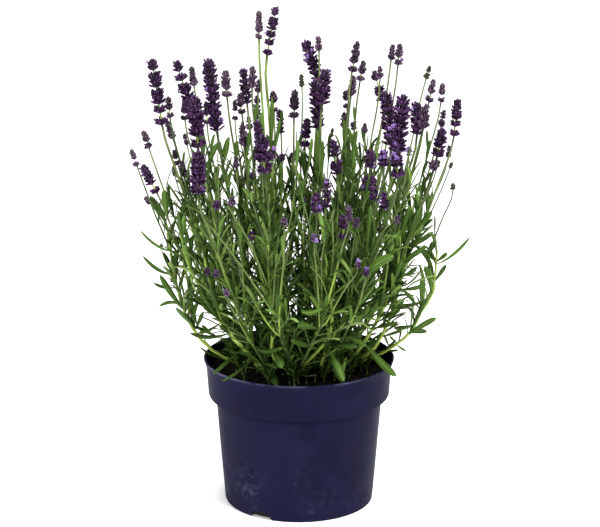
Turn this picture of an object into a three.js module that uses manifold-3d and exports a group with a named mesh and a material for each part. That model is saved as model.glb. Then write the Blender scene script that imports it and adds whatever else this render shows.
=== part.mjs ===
// A potted lavender: a plastic nursery pot with a step-out collar, its potting soil, and a bushy
// English lavender whose leafy shoots end in long bare stalks with a flower head on each.
// Millimetres, +Z up. The origin is the centre of the pot's foot, on the surface it stands on.
import * as THREE from "three";
import { mergeVertices } from "three/addons/utils/BufferGeometryUtils.js";
import Module from "manifold-3d";

const wasm = await Module();
wasm.setup();

// Driving dimensions of the pot
const RIM_RADIUS = 85;
const POT_HEIGHT = 133;
const LIP_HEIGHT = 8;
const COLLAR_RADIUS = 82.6;
const COLLAR_TAPER = 1.6;
const COLLAR_BOTTOM = 98.8;
const BODY_TOP_RADIUS = 74.3;
const FOOT_RADIUS = 66.7;
const WALL = 1.3;
const FLOOR = 1.6;
const POT_SIDES = 30;
const NOTCH = { width: 22, topWidth: 13, height: 6.5, firstAngle: -120.5, count: 3 };
const DRAIN = { radius: 5, circle: 38, count: 6, sides: 8 };

// Driving dimensions of the soil
const SOIL_GAP = 0.3;
const SOIL_EDGE = 119;
const SOIL_MOUND = 3;
const SOIL_BUMP = 1.1;

// Driving dimensions of the bush's growth
const CROWN_ROOT = 105;
const CROWN_SPAN = 235;
const FOOT_LOW = 104;
const FOOT_HIGH = 130;
const FOOT_WIDTH = 4.2;
const FOOT_SIDES = 6;
const STEM_CORNER = 1.15;

// Driving dimensions of the leafy shoots
const SHOOT_START = 126;
const SHOOT_FAN = 60;
const SHOOT_TOP = 238;
const SHOOT_TOP_FRONT = 0.3;
const SHOOT_STEPS = 4;
const SHOOT_RADIUS = { foot: 1.9, top: 0.8 };
const CLEAR_SHOOT_RADIUS = { foot: 2, top: 1 };

// Driving dimensions of the stalks and the flower heads
const STALK_FAN = 85;
const JOINT_LOW = 134;
const JOINT_HIGH = 185;
const BEND_START = 0.7;
const LINE_STEPS = 12;
const STALK_KNOTS = [0, 1, 6, 12];
const HEAD_SEAT_GAP = 0.3;
const WHORL_PARTS = { O: 1, ".": 0.6, ",": 0.25 };
const HEAD_TIP = 0.35;
const CLEARANCE = 0.7;
const DEPTH_STEP = 4;
const DEPTH_TRIES = 41;
const OWN_NODES = 48;

// Driving dimensions of the leaves
const LEAF = { spacing: 18, firstHeight: 131, length: 40, halfWidth: 2.6, kept: 0.18 };
const LEAF_RISE = 0.45;
const LEAF_KEEL = 0.95;
const LEAF_SAMPLES = 8;
const LEAF_NODES = 9;
const RULE_SECTIONS = [
  { at: 0.3, width: 0.85 },
  { at: 0.76, width: 0.9 },
];
const OUTER_SECTIONS = [
  { at: 0.2, width: 0.6 },
  { at: 0.55, width: 1 },
  { at: 0.83, width: 0.75 },
];
const LEAF_TURNS = [0, 40, -40, 80, -80, 120, -120, 180];
const OUTER_SHIFTS = [0, 8, -8, 16, -16, 24];
const OUTER_TRIES = 40;

// The front view in which the heads and the outer leaves were placed: a frame of 600 x 527 pixels, seen
// by a camera far in front of the pot and a little above it.
const VIEW = { width: 600, height: 527, focal: 2266, distance: 2000, elevation: 16, aimX: 1, aimZ: 218.6 };
const MM_PER_PIXEL = VIEW.distance / VIEW.focal;

// Where each woody branch grows towards, on the spreading field of the bush
const BRANCHES = [
  { name: "left", x: -115, y: 5 },
  { name: "front_left", x: -82, y: -85 },
  { name: "front", x: -8, y: -115 },
  { name: "front_right", x: 70, y: -92 },
  { name: "right", x: 120, y: -5 },
  { name: "back_right", x: 75, y: 85 },
  { name: "back", x: 0, y: 110 },
  { name: "back_left", x: -75, y: 85 },
  { name: "inner_left", x: -38, y: -8 },
  { name: "inner_right", x: 36, y: 4 },
];

// Leafy shoots: rings of places on the same field, each growing from the branch nearest to it
const SHOOT_RINGS = [
  { count: 4, radius: 34, turn: 20 },
  { count: 9, radius: 80, turn: 10 },
  { count: 13, radius: 126, turn: 4 },
];

// Leafy shoots that show clearly: the branch, the depth behind the pot's axis at the foot and at the top
// in mm, and the pixels that the shoot passes from the foot up
const CLEAR_SHOOTS = [
  ["left", 0, -12, [[232, 361], [203, 342], [184, 311], [173, 267], [167, 225]]],
  ["front_left", -28, -38, [[256, 361], [226, 330], [202, 291], [186, 258], [180, 226]]],
  ["front_left", -32, -50, [[254, 360], [224, 323], [212, 290], [205, 262], [201, 232]]],
  ["front", -42, -62, [[273, 357], [273, 329], [272, 305], [269, 280], [268, 245]]],
  ["front", -45, -70, [[309, 360], [327, 340], [332, 318], [329, 291], [324, 262]]],
  ["front_right", -40, -60, [[322, 362], [333, 336], [345, 321], [351, 300], [353, 268]]],
  ["front_right", -25, -40, [[350, 361], [374, 326], [388, 297], [397, 270], [400, 236]]],
  ["right", -2, -10, [[364, 361], [394, 346], [412, 330], [421, 312], [433, 292], [437, 250]]],
  ["right", -14, -26, [[366, 356], [381, 337], [391, 316], [397, 296], [402, 272], [406, 246]]],
];

// The outline of the leafy part of the bush: a row of pixels, and its left and right edges there
const FOLIAGE_EDGES = [
  [130, 215, 405],
  [160, 168, 430],
  [200, 158, 434],
  [250, 160, 440],
  [285, 164, 440],
  [310, 176, 430],
  [330, 192, 416],
  [350, 200, 398],
  [368, 214, 390],
  [388, 240, 350],
];

// Flower heads: the tip's and the foot's pixel, the width in pixels, the whorls from the tip down
// (O is a whorl of florets, a dot is bare stalk and a comma a slit), the tone, and the depth behind the
// pot's axis in mm.
const HEADS = [
  [152, 60, 162, 125, 15, "O,OO,OO,O.O", "bloom", 10],
  [176, 61, 195, 120, 14, "O,O,OOOOO", "bloom", 15],
  [195, 98, 198, 148, 17, "OOOOO.O", "bloom", -45],
  [198, 153, 198, 194, 17, "OOOO,O", "bloom", -75],
  [191, 65, 194, 86, 9, "OOO", "mauve", 75],
  [184, 101, 185, 120, 9, "OO,O", "dusk", 55],
  [168, 95, 170, 118, 9, "OO,O", "dusk", 45],
  [166, 118, 173, 139, 9, "OOO", "mauve", 90],
  [143, 130, 149, 148, 9, "OO,O", "mauve", 10],
  [131, 149, 137, 166, 8, "OO.O", "mauve", 0],
  [142, 165, 157, 193, 11, "OOO.O", "bloom", -20],
  [144, 196, 151, 204, 7, "OO", "mauve", 20],
  [174, 150, 178, 165, 8, "OO.O", "dusk", 45],
  [181, 160, 184, 177, 8, "OOO", "dusk", 10],
  [173, 165, 175, 176, 7, "OO", "green", 75],
  [208, 59, 217, 131, 16, "OOOOOOOO", "bloom", -30],
  [225, 71, 227, 97, 11, "OOO,O", "mauve", 0],
  [206, 100, 207, 124, 9, "OO,O", "dusk", 65],
  [243, 67, 247, 103, 12, "OOOO", "bloom", 10],
  [253, 65, 252, 88, 10, "OOO", "mauve", -20],
  [259, 77, 258, 93, 8, "OO", "mauve", 35],
  [239, 93, 242, 114, 10, "OO,O", "mauve", 55],
  [235, 98, 235, 120, 7, "OO.O", "dusk", 100],
  [257, 94, 257, 119, 9, "OOO", "bloom", 65],
  [248, 113, 250, 130, 8, "OO", "dusk", 110],
  [242, 120, 244, 146, 10, "OOO", "mauve", -10],
  [257, 120, 260, 142, 11, "OOO", "bloom", -45],
  [261, 137, 265, 173, 17, "OOO.O", "bloom", -75],
  [273, 144, 273, 159, 7, "OO", "mauve", -30],
  [273, 91, 274, 112, 10, "OO.O", "mauve", 35],
  [279, 107, 281, 133, 9, "OOO", "bloom", 65],
  [259, 10, 259, 39, 8, "OOOO,O", "mauve", 10],
  [276, 7, 267, 55, 11, "O,OO,O,O.O", "bloom", 30],
  [305, 40, 318, 78, 15, "OOOO", "bloom", 20],
  [318, 34, 319, 51, 9, "OO", "mauve", 20],
  [326, 70, 322, 104, 15, "OOOO", "bloom", -20],
  [314, 79, 318, 128, 14, "OOOOO", "bloom", -20],
  [307, 119, 305, 147, 11, "OOO.O", "bloom", 0],
  [301, 72, 302, 87, 7, "OO", "green", 55],
  [295, 89, 294, 118, 11, "OOO,O", "dusk", 10],
  [358, 40, 352, 72, 10, "OOO,O", "dusk", 10],
  [364, 60, 360, 81, 9, "OO,O", "mauve", -15],
  [354, 75, 351, 96, 10, "OOO", "mauve", 45],
  [345, 90, 347, 108, 8, "OO.O", "dusk", 65],
  [344, 110, 345, 129, 11, "OO", "mauve", 10],
  [353, 119, 354, 130, 8, "O", "mauve", 75],
  [365, 122, 365, 133, 7, "OO", "mauve", 0],
  [333, 127, 331, 137, 5, "OO", "green", 35],
  [380, 64, 380, 79, 8, "OO", "mauve", 20],
  [374, 70, 382, 100, 12, "O.OO", "bloom", 65],
  [393, 42, 391, 60, 9, "OO", "mauve", 0],
  [400, 43, 398, 65, 9, "OO,O", "mauve", -15],
  [386, 92, 391, 145, 16, "OOOOO", "bloom", -40],
  [404, 96, 397, 152, 18, "OOOOOO", "bloom", -65],
  [416, 103, 417, 134, 14, "OOOO", "bloom", -15],
  [426, 103, 423, 129, 12, "OOO", "mauve", -40],
  [431, 63, 426, 79, 7, "OO", "green", 20],
  [434, 78, 429, 102, 9, "OO,O", "mauve", -10],
  [443, 82, 441, 102, 8, "OO,O", "mauve", 20],
  [445, 107, 441, 127, 9, "OO", "dusk", 45],
  [458, 99, 454, 136, 11, "OOO,O.O", "bloom", -5],
  [443, 129, 437, 157, 15, "OO,O", "bloom", -30],
  [434, 161, 433, 170, 10, "O", "dusk", -45],
  [450, 143, 448, 158, 7, "OO", "dusk", 35],
  [453, 181, 453, 190, 6, "O", "green", 0],
  [439, 158, 437, 167, 6, "O", "green", -20],
  [453, 160, 450, 168, 5, "O", "green", 45],
  [333, 140, 337, 174, 12, "OO.OO", "bloom", -15],
  [370, 149, 370, 167, 12, "OO", "bloom", -60],
  [383, 150, 384, 166, 12, "OO", "bloom", -80],
  [396, 150, 398, 177, 14, "OO.O", "bloom", -85],
  [366, 173, 366, 190, 8, "OO", "bloom", -50],
  [373, 173, 374, 200, 9, "OOO", "bloom", -65],
  [383, 190, 385, 208, 10, "OO", "bloom", -85],
  [316, 190, 317, 212, 12, "OO", "bloom", -95],
  [327, 176, 326, 207, 10, "OOO", "bloom", -80],
  [349, 203, 349, 221, 9, "OO", "mauve", -95],
  [343, 214, 343, 238, 9, "OO.O", "bloom", -75],
  [357, 216, 356, 227, 8, "O", "dusk", -85],
  [358, 257, 358, 268, 6, "O", "mauve", -95],
  [367, 265, 366, 276, 7, "O", "bloom", -90],
  [284, 216, 284, 225, 8, "O", "mauve", -100],
  [232, 195, 232, 206, 8, "O", "mauve", -85],
  [217, 199, 216, 209, 8, "O", "bloom", -60],
  [208, 265, 207, 275, 7, "O", "dusk", -60],
  [216, 267, 216, 277, 7, "O", "dusk", -75],
  [226, 286, 227, 296, 6, "O", "mauve", -85],
  [209, 227, 209, 237, 6, "O", "dusk", -35],
  [221, 230, 220, 240, 6, "O", "dusk", -50],
  [252, 229, 252, 239, 7, "O", "bloom", -70],
  [240, 267, 240, 275, 4, "O", "green", -95],
  [252, 172, 253, 179, 7, "O", "dusk", -15],
  [244, 176, 244, 184, 6, "O", "dusk", 20],
  [282, 153, 282, 161, 7, "O", "dusk", 0],
  [292, 152, 292, 163, 8, "OO", "mauve", 20],
  [236, 154, 236, 168, 8, "OO", "mauve", -10],
  [355, 144, 355, 156, 7, "OO", "mauve", 10],
  [409, 145, 409, 156, 6, "O", "mauve", 35],
  [304, 195, 304, 204, 6, "O", "dusk", -30],
  [161, 243, 161, 248, 4, "O", "green", 55],
  [172, 274, 173, 282, 5, "O", "dusk", 0],
  [380, 225, 380, 234, 6, "O", "dusk", -60],
  [397, 213, 396, 224, 8, "O", "mauve", -55],
  [314, 231, 314, 241, 6, "O", "mauve", -100],
  [184, 132, 187, 145, 7, "OO", "dusk", 70],
];

// Leaves whose outline shows: base and tip pixels, width in pixels, how far the middle bows upwards in
// pixels, and how much nearer the tip lies than the base, in mm.
const OUTER_LEAVES = [
  [176, 252, 140, 230, 3.4, -7, 0],
  [171, 276, 143, 256, 4.5, -5, 5],
  [181, 308, 160, 275, 7, -2, 5],
  [179, 307, 159, 306, 4.5, 4, 5],
  [171, 218, 164, 190, 8, 0, 5],
  [164, 218, 150, 196, 6, 0, 0],
  [222, 340, 190, 333, 5, -4, 5],
  [254, 350, 281, 347, 5, -3, 25],
  [266, 364, 277, 386, 7, 2, 22],
  [240, 366, 222, 381, 3.6, -3, 12],
  [228, 363, 213, 374, 5, 0, 10],
  [278, 348, 282, 368, 8, 2, 25],
  [219, 322, 197, 287, 6, 0, 5],
  [223, 320, 210, 286, 6, 0, 10],
  [234, 318, 255, 291, 6, -2, 8],
  [438, 265, 470, 237, 3.8, -4, 0],
  [400, 327, 436, 318, 7, 1, 5],
  [412, 334, 427, 331, 6, 1, 5],
  [436, 281, 446, 265, 5, 0, 0],
  [406, 277, 417, 267, 5, -1, 0],
  [419, 250, 433, 232, 6, 0, 0],
  [423, 222, 432, 211, 5, 0, 0],
  [419, 226, 420, 201, 7, 0, 0],
  [352, 284, 394, 256, 9, 5, 20],
  [328, 347, 342, 382, 8, 2, 25],
  [374, 347, 396, 376, 7, -2, 15],
  [349, 322, 369, 306, 6, -3, 15],
  [328, 346, 357, 347, 6, 2, 20],
  [321, 330, 298, 326, 7, 2, 20],
  [422, 297, 391, 305, 5, -3, 5],
  [433, 292, 425, 266, 6, 0, 5],
  [438, 263, 447, 253, 5, 0, 3],
  [435, 262, 423, 249, 4.5, 0, 3],
  [421, 312, 403, 289, 4, 0, 5],
  [420, 311, 421, 280, 4.5, 0, 8],
  [414, 326, 394, 328, 5.5, -1, 5],
  [398, 344, 406, 351, 2.8, 0, 3],
  [184, 311, 194, 283, 8, 0, 6],
  [196, 328, 203, 312, 5, 0, 5],
  [230, 363, 200, 347, 3, -3, 6],
  [196, 325, 190, 298, 5, 0, 3],
  [177, 228, 186, 196, 6, 0, 3],
  [184, 240, 178, 212, 5, 0, 3],
  [208, 166, 217, 143, 6, 0, 5],
  [221, 166, 228, 138, 6, 0, 5],
  [305, 183, 303, 152, 7, 0, 5],
  [284, 200, 281, 163, 6, 0, 0],
  [294, 200, 292, 165, 5, 0, 3],
  [350, 185, 345, 150, 8, 0, 5],
  [358, 170, 352, 133, 5, 0, 3],
  [217, 327, 198, 333, 4, -2, 4],
  [401, 290, 415, 300, 3.5, 2, 3],
  [405, 289, 422, 268, 2.2, -5, 3],
];

const vector = (x, y, z) => new THREE.Vector3(x, y, z);
const radians = THREE.MathUtils.degToRad;
const clamp = THREE.MathUtils.clamp;

// A draw from 0 to 1 that depends only on its three numbers
function chance(a, b, c) {
  const s = Math.sin(a * 12.9898 + b * 78.233 + c * 37.719) * 43758.5453;
  return s - Math.floor(s);
}

// The view's camera
const eyeLift = Math.sin(radians(VIEW.elevation));
const eyeBack = Math.cos(radians(VIEW.elevation));
const EYE = vector(VIEW.aimX, -VIEW.distance * eyeBack, VIEW.aimZ + VIEW.distance * eyeLift);
const AHEAD = vector(0, eyeBack, -eyeLift);
const UP = vector(0, eyeLift, eyeBack);

// The point of the model at a pixel of the view and a depth behind the pot's axis
function place(px, py, depth) {
  const ray = AHEAD.clone()
    .addScaledVector(vector(1, 0, 0), (px - VIEW.width / 2) / VIEW.focal)
    .addScaledVector(UP, (VIEW.height / 2 - py) / VIEW.focal);
  return EYE.clone().addScaledVector(ray, (depth - EYE.y) / ray.y);
}

// The pixel of the view where a point shows
function pixel(p) {
  const d = p.clone().sub(EYE);
  const ahead = d.dot(AHEAD);
  return [VIEW.width / 2 + (VIEW.focal * d.x) / ahead, VIEW.height / 2 - (VIEW.focal * d.dot(UP)) / ahead];
}

// How far the bush has spread at a height, as a share of its spread at the field's full height
function spread(z) {
  return Math.sqrt(Math.max(z - CROWN_ROOT, 0.01) / CROWN_SPAN);
}

// How far shoots or stalks have fanned out from each other, at a height above their joint
function fan(rise, height) {
  return Math.pow(clamp(rise / height, 0, 1), 0.7);
}

function nearest(places, x, y) {
  const away = places.map((place) => Math.hypot(place.x - x, place.y - y));
  return away.indexOf(Math.min(...away));
}

// Least distance from a point to a straight piece between two points
function distanceToPiece(p, a, b) {
  const ab = b.clone().sub(a);
  const t = clamp(p.clone().sub(a).dot(ab) / ab.lengthSq(), 0, 1);
  return a.clone().addScaledVector(ab, t).distanceTo(p);
}

// Least distance from a point to a line of several straight pieces
function distanceToLine(p, line) {
  const pieces = line.slice(1).map((end, i) => distanceToPiece(p, line[i], end));
  return Math.min(...pieces);
}

// The point of a rising line at a height
function atHeight(line, z) {
  for (let i = 0; i + 1 < line.length; i++) {
    if (z > line[i + 1].z) continue;
    return line[i].clone().lerp(line[i + 1], clamp((z - line[i].z) / (line[i + 1].z - line[i].z), 0, 1));
  }
  return line[line.length - 1].clone();
}

// A shoot at its own place on the field: its line leaves its branch's foot and fans out
function fieldShoot(ring, r, k) {
  const a = radians(ring.turn + (360 * (k + 0.4 * (chance(r, k, 1) - 0.5))) / ring.count);
  const far = ring.radius * (1 + 0.12 * (chance(r, k, 2) - 0.5));
  const shoot = { x: far * Math.cos(a), y: far * Math.sin(a), radius: SHOOT_RADIUS };
  shoot.branch = nearest(BRANCHES, shoot.x, shoot.y);
  shoot.top = SHOOT_TOP + SHOOT_TOP_FRONT * Math.min(shoot.y, 0) + 18 * (chance(r, k, 3) - 0.5);
  const rise = (shoot.top - SHOOT_START) / SHOOT_STEPS;
  const line = Array.from({ length: SHOOT_STEPS + 1 }, (_, i) => shootPoint(shoot, SHOOT_START + rise * i));
  return { ...shoot, line };
}

// A shoot of the table: its line runs from its branch's foot through the points at its pixels
function clearShoot([name, depth, topDepth, pixels]) {
  const branch = BRANCHES.findIndex((one) => one.name === name);
  const g = spread(SHOOT_START);
  const line = [vector(BRANCHES[branch].x * g, BRANCHES[branch].y * g, SHOOT_START)];
  pixels.forEach(([px, py], i) => {
    line.push(place(px, py, depth + ((topDepth - depth) * i) / (pixels.length - 1)));
  });
  const end = line[line.length - 1];
  const shoot = { branch, line, top: end.z, radius: CLEAR_SHOOT_RADIUS };
  return { ...shoot, x: end.x / spread(end.z), y: end.y / spread(end.z), clear: true };
}

function makeShoots() {
  const rings = SHOOT_RINGS.map((ring, r) => {
    return Array.from({ length: ring.count }, (_, k) => fieldShoot(ring, r, k));
  });
  const made = [...rings.flat(), ...CLEAR_SHOOTS.map(clearShoot)];
  return made.map((shoot, index) => ({ ...shoot, index, knots: shoot.line }));
}

// The point of a shoot at a height; above its top it goes on up the field
function shootPoint(shoot, z) {
  const g = spread(z);
  if (shoot.clear) return z < shoot.top ? atHeight(shoot.line, z) : vector(shoot.x * g, shoot.y * g, z);
  const from = BRANCHES[shoot.branch];
  const share = fan(z - SHOOT_START, SHOOT_FAN);
  return vector((from.x + (shoot.x - from.x) * share) * g, (from.y + (shoot.y - from.y) * share) * g, z);
}

function shootRadius(shoot, z) {
  const share = (z - SHOOT_START) / (shoot.top - SHOOT_START);
  return shoot.radius.foot + (shoot.radius.top - shoot.radius.foot) * share;
}

const shoots = makeShoots();

// A stalk's line runs up the spreading field from its shoot, then bends into its head's own direction.
function fieldPoint(head, z) {
  const shoot = shoots[head.shoot];
  const share = fan(z - head.joint, STALK_FAN) / fan(head.foot.z - head.joint, STALK_FAN);
  const g = spread(z);
  const rise = clamp((z - head.joint) / (head.foot.z - head.joint), 0, 1);
  const sway = 4 * Math.sin(Math.PI * rise) ** 2;
  const trunk = shootPoint(shoot, z);
  return vector(
    trunk.x + (head.fieldX * g - trunk.x) * share + sway * (chance(head.index, 1, 1) - 0.5),
    trunk.y + (head.fieldY * g - trunk.y) * share + sway * (chance(head.index, 2, 1) - 0.5),
    z,
  );
}

function stalkPoint(head, t) {
  const turnZ = head.joint + (head.foot.z - head.joint) * BEND_START;
  if (t <= BEND_START) return fieldPoint(head, head.joint + (turnZ - head.joint) * (t / BEND_START));
  const s = (t - BEND_START) / (1 - BEND_START);
  const start = fieldPoint(head, turnZ);
  const reach = head.foot.distanceTo(start);
  const startWay = fieldPoint(head, turnZ + 1).sub(fieldPoint(head, turnZ - 1)).normalize();
  const endWay = head.tip.clone().sub(head.foot).normalize();
  return start
    .multiplyScalar(2 * s ** 3 - 3 * s ** 2 + 1)
    .addScaledVector(startWay, reach * (s ** 3 - 2 * s ** 2 + s))
    .addScaledVector(head.foot, -2 * s ** 3 + 3 * s ** 2)
    .addScaledVector(endWay, reach * (s ** 3 - s ** 2));
}

function stalkRadius(head, t) {
  return 0.5 + 0.055 * (head.pixelWidth - 5) + 0.3 * (1 - t);
}

// A head placed at a depth, with its field place, its shoot and its stalk
function headAt(row, index, depth) {
  const [tipX, tipY, footX, footY, pixelWidth, whorls, tone] = row;
  const head = { index, pixelWidth, whorls, tone };
  head.foot = place(footX, footY, depth);
  head.tip = place(tipX, tipY, depth * 1.03);
  head.radius = (pixelWidth / 2) * MM_PER_PIXEL;
  head.fieldX = head.foot.x / spread(head.foot.z);
  head.fieldY = head.foot.y / spread(head.foot.z);
  head.shoot = nearest(shoots, head.fieldX, head.fieldY);
  head.branch = shoots[head.shoot].branch;
  const highest = Math.min(JOINT_HIGH + 30 * (chance(index, 4, 4) - 0.5), shoots[head.shoot].top - 8);
  head.joint = clamp(head.foot.z - 60, JOINT_LOW, highest);
  head.line = [];
  for (let i = 0; i <= LINE_STEPS; i++) head.line.push(stalkPoint(head, i / LINE_STEPS));
  head.line[0].copy(atHeight(shoots[head.shoot].line, head.joint));
  head.knots = STALK_KNOTS.map((i) => head.line[i]);
  return head;
}

// Room between a head with its stalk and the flower part of another
function roomBeside(one, other) {
  const need = other.radius + CLEARANCE;
  const stalk = one.line.slice(4).map((p) => {
    return distanceToPiece(p, other.foot, other.tip) - stalkRadius(one, 0.8);
  });
  const flower = [0, 0.25, 0.5, 0.75, 1].map((share) => {
    const p = one.foot.clone().lerp(one.tip, share);
    return distanceToPiece(p, other.foot, other.tip) - one.radius;
  });
  return Math.min(...stalk, ...flower) - need;
}

// Least room between two heads with their stalks; stalks of one branch may touch
function room(a, b) {
  const least = Math.min(roomBeside(a, b), roomBeside(b, a));
  if (a.branch === b.branch) return least;
  const need = stalkRadius(a, 0.5) + stalkRadius(b, 0.5) + CLEARANCE;
  return Math.min(least, ...a.line.map((p) => distanceToLine(p, b.line) - need));
}

// Room between a head with its stalk and the leafy shoots
function shootRoom(head) {
  let least = Infinity;
  for (const shoot of shoots) {
    for (const p of [...shoot.line, atHeight(shoot.line, head.foot.z)]) {
      least = Math.min(least, distanceToPiece(p, head.foot, head.tip) - head.radius - 2 - CLEARANCE);
    }
    if (shoot.branch === head.branch) continue;
    for (const p of head.line) least = Math.min(least, distanceToLine(p, shoot.line) - 3 - CLEARANCE);
  }
  return least;
}

// Each head keeps its pixel and moves in depth until it and its stalk are clear of those before it.
function placeHeads() {
  const placed = [];
  HEADS.forEach((row, index) => {
    let best = null;
    for (let attempt = 0; attempt < DEPTH_TRIES; attempt++) {
      const side = attempt % 2 ? 1 : -1;
      const head = headAt(row, index, row[7] + side * Math.ceil(attempt / 2) * DEPTH_STEP);
      head.free = Math.min(shootRoom(head), ...placed.map((other) => room(head, other)));
      if (!best || head.free > best.free) best = head;
      if (head.free >= 0) break;
    }
    placed.push(best);
  });
  return placed;
}

const heads = placeHeads();

// Leaves: a leaf is a centre line of three control points, a width and the way its blade faces
function bezier(leaf, t) {
  return leaf.base
    .clone()
    .multiplyScalar((1 - t) ** 2)
    .addScaledVector(leaf.middle, 2 * t * (1 - t))
    .addScaledVector(leaf.tip, t * t);
}

function potClear(p) {
  const beyond = Math.hypot(p.x, p.y) > RIM_RADIUS - 8;
  return beyond ? p.z > POT_HEIGHT + 1.5 : p.z > SOIL_EDGE + SOIL_MOUND + SOIL_BUMP + 2;
}

// Whether a point shows inside the outline of the leafy part of the bush
function inOutline(p) {
  const [x, y] = pixel(p);
  const below = FOLIAGE_EDGES.findIndex(([row]) => row > y);
  if (below < 1) return false;
  const [row, left, right] = FOLIAGE_EDGES[below - 1];
  const [nextRow, nextLeft, nextRight] = FOLIAGE_EDGES[below];
  const share = (y - row) / (nextRow - row);
  return x > left + (nextLeft - left) * share && x < right + (nextRight - right) * share;
}

// Whether a leaf clears the pot, the heads, the stems and the leaves grown before it. Near its base it
// may touch what belongs to its own branch.
function leafClear(leaf, grown) {
  leaf.line = Array.from({ length: LEAF_SAMPLES + 1 }, (_, i) => bezier(leaf, i / LEAF_SAMPLES));
  const need = leaf.halfWidth + CLEARANCE;
  const near = (p, i, one, more) => {
    if (one.branch === leaf.branch && i <= 3) return false;
    return distanceToLine(p, one.line) < need + more;
  };
  return leaf.line.every((p, i) => {
    if (i === 0) return true;
    if (!potClear(p)) return false;
    if (heads.some((head) => distanceToPiece(p, head.foot, head.tip) < head.radius + need)) return false;
    if (heads.some((head) => near(p, i, head, 1.3))) return false;
    if (shoots.some((shoot) => near(p, i, shoot, 2))) return false;
    return !grown.some((other) => near(p, i, other, other.halfWidth));
  });
}

// The leaf that the rule gives to a shoot at one height and side, turned or shortened until it is clear
function ruleLeaf(shoot, node, side, grown) {
  const pick = (channel) => chance(shoot.index + 1, node * 2 + side, channel);
  const height = LEAF.firstHeight + LEAF.spacing * (node + 0.5 * chance(shoot.index, 3, 7));
  if (height > shoot.top - 2) return null;
  const base = atHeight(shoot.line, height);
  const stem = atHeight(shoot.line, height + 3).sub(atHeight(shoot.line, height - 3)).normalize();
  stem.add(vector(0, 0, LEAF_RISE)).normalize();
  const higher = clamp((height - LEAF.firstHeight) / 120, 0, 1);
  const halfWidth = LEAF.halfWidth * (0.85 + 0.3 * pick(15)) * (1 - 0.2 * higher);
  const first = 360 * chance(shoot.index, 5, 3) + 90 * node + 180 * side + 40 * (pick(12) - 0.5);
  const opening = radians(14 + 14 * pick(13));
  const falling = radians(26 + 28 * pick(14));
  for (const share of [1, 0.75]) {
    const reach = LEAF.length * (0.75 + 0.45 * pick(11)) * share;
    for (const turn of LEAF_TURNS) {
      const a = radians(first + turn);
      const out = vector(Math.cos(a), Math.sin(a), 0);
      const leaf = { base, halfWidth, branch: shoot.branch, sections: RULE_SECTIONS };
      leaf.middle = leafPoint(base, stem, out, opening, reach * 0.55);
      leaf.tip = leafPoint(base, stem, out, falling, reach);
      leaf.across = stem.clone().cross(out).normalize();
      if (inOutline(leaf.tip) && leafClear(leaf, grown)) return leaf;
    }
  }
  return null;
}

// The point at a distance from a leaf's base, at an angle from the stem outwards
function leafPoint(base, stem, out, angle, far) {
  const along = base.clone().addScaledVector(stem, far * Math.cos(angle));
  return along.addScaledVector(out, far * Math.sin(angle));
}

// The leaf of one row of the table, on the stem that shows nearest to its base, at the depth that is clear
function outerLeaf(row, grown) {
  const [baseX, baseY, tipX, tipY, width, bow, nearer] = row;
  const places = [];
  for (const stem of [...heads, ...shoots]) {
    for (let i = 1; i < 40; i++) {
      const low = stem.knots[0].z;
      const high = stem.knots[stem.knots.length - 1].z;
      const p = atHeight(stem.knots, low + ((high - low) * i) / 40);
      const [x, y] = pixel(p);
      places.push({ p, branch: stem.branch, away: Math.hypot(x - baseX, y - baseY) + p.y * 0.03 });
    }
  }
  places.sort((a, b) => a.away - b.away);
  for (const start of places.slice(0, OUTER_TRIES)) {
    for (const shift of OUTER_SHIFTS) {
      const tip = place(tipX, tipY, start.p.y - nearer - shift);
      const middle = start.p.clone().lerp(tip, 0.5);
      middle.z += bow * MM_PER_PIXEL * 2;
      const across = tip.clone().sub(start.p).cross(vector(0, -0.8, 0.6)).normalize();
      const leaf = { base: start.p, middle, tip, across, branch: start.branch };
      leaf.halfWidth = (width / 2) * MM_PER_PIXEL;
      leaf.sections = OUTER_SECTIONS;
      if (leafClear(leaf, grown)) return leaf;
    }
  }
  return null;
}

function growLeaves() {
  const grown = [];
  for (const row of OUTER_LEAVES) {
    const leaf = outerLeaf(row, grown);
    if (leaf) grown.push(leaf);
  }
  for (let node = 0; node < LEAF_NODES; node++) {
    for (const shoot of shoots) {
      for (const side of [0, 1]) {
        if (chance(shoot.index, node, 40 + side) > LEAF.kept) continue;
        const leaf = ruleLeaf(shoot, node, side, grown);
        if (leaf) grown.push(leaf);
      }
    }
  }
  return grown;
}

// A closed solid of a list of coordinates and a list of triangles
function solid(coordinates, triangles) {
  const vertProperties = new Float32Array(coordinates);
  const triVerts = new Uint32Array(triangles);
  return new wasm.Manifold(new wasm.Mesh({ numProp: 3, vertProperties, triVerts }));
}

// A skin under construction: its points, its faces, and the ring of points at which it stands open
function startSkin(point, ring) {
  const made = { points: [point, ...ring], faces: [], open: 1, sides: ring.length };
  for (let s = 0; s < made.sides; s++) made.faces.push(0, 1 + ((s + 1) % made.sides), 1 + s);
  return made;
}

function addRing(made, ring) {
  const { points, faces, open, sides } = made;
  made.open = points.length;
  points.push(...ring);
  for (let s = 0; s < sides; s++) {
    const next = (s + 1) % sides;
    faces.push(open + s, open + next, made.open + next, open + s, made.open + next, made.open + s);
  }
}

// A ring beyond the open one, with a spike standing out between the two on each side
function addSpikes(made, ring, spikes) {
  const { points, faces, open, sides } = made;
  made.open = points.length;
  points.push(...ring, ...spikes);
  for (let s = 0; s < sides; s++) {
    const next = (s + 1) % sides;
    const spike = made.open + sides + s;
    faces.push(open + s, open + next, spike, open + next, made.open + next, spike);
    faces.push(made.open + next, made.open + s, spike, made.open + s, open + s, spike);
  }
}

function closeSkin(made, point) {
  const { points, faces, open, sides } = made;
  points.push(point);
  for (let s = 0; s < sides; s++) faces.push(points.length - 1, open + s, open + ((s + 1) % sides));
  return solid(points.flatMap((p) => [p.x, p.y, p.z]), faces);
}

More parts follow.
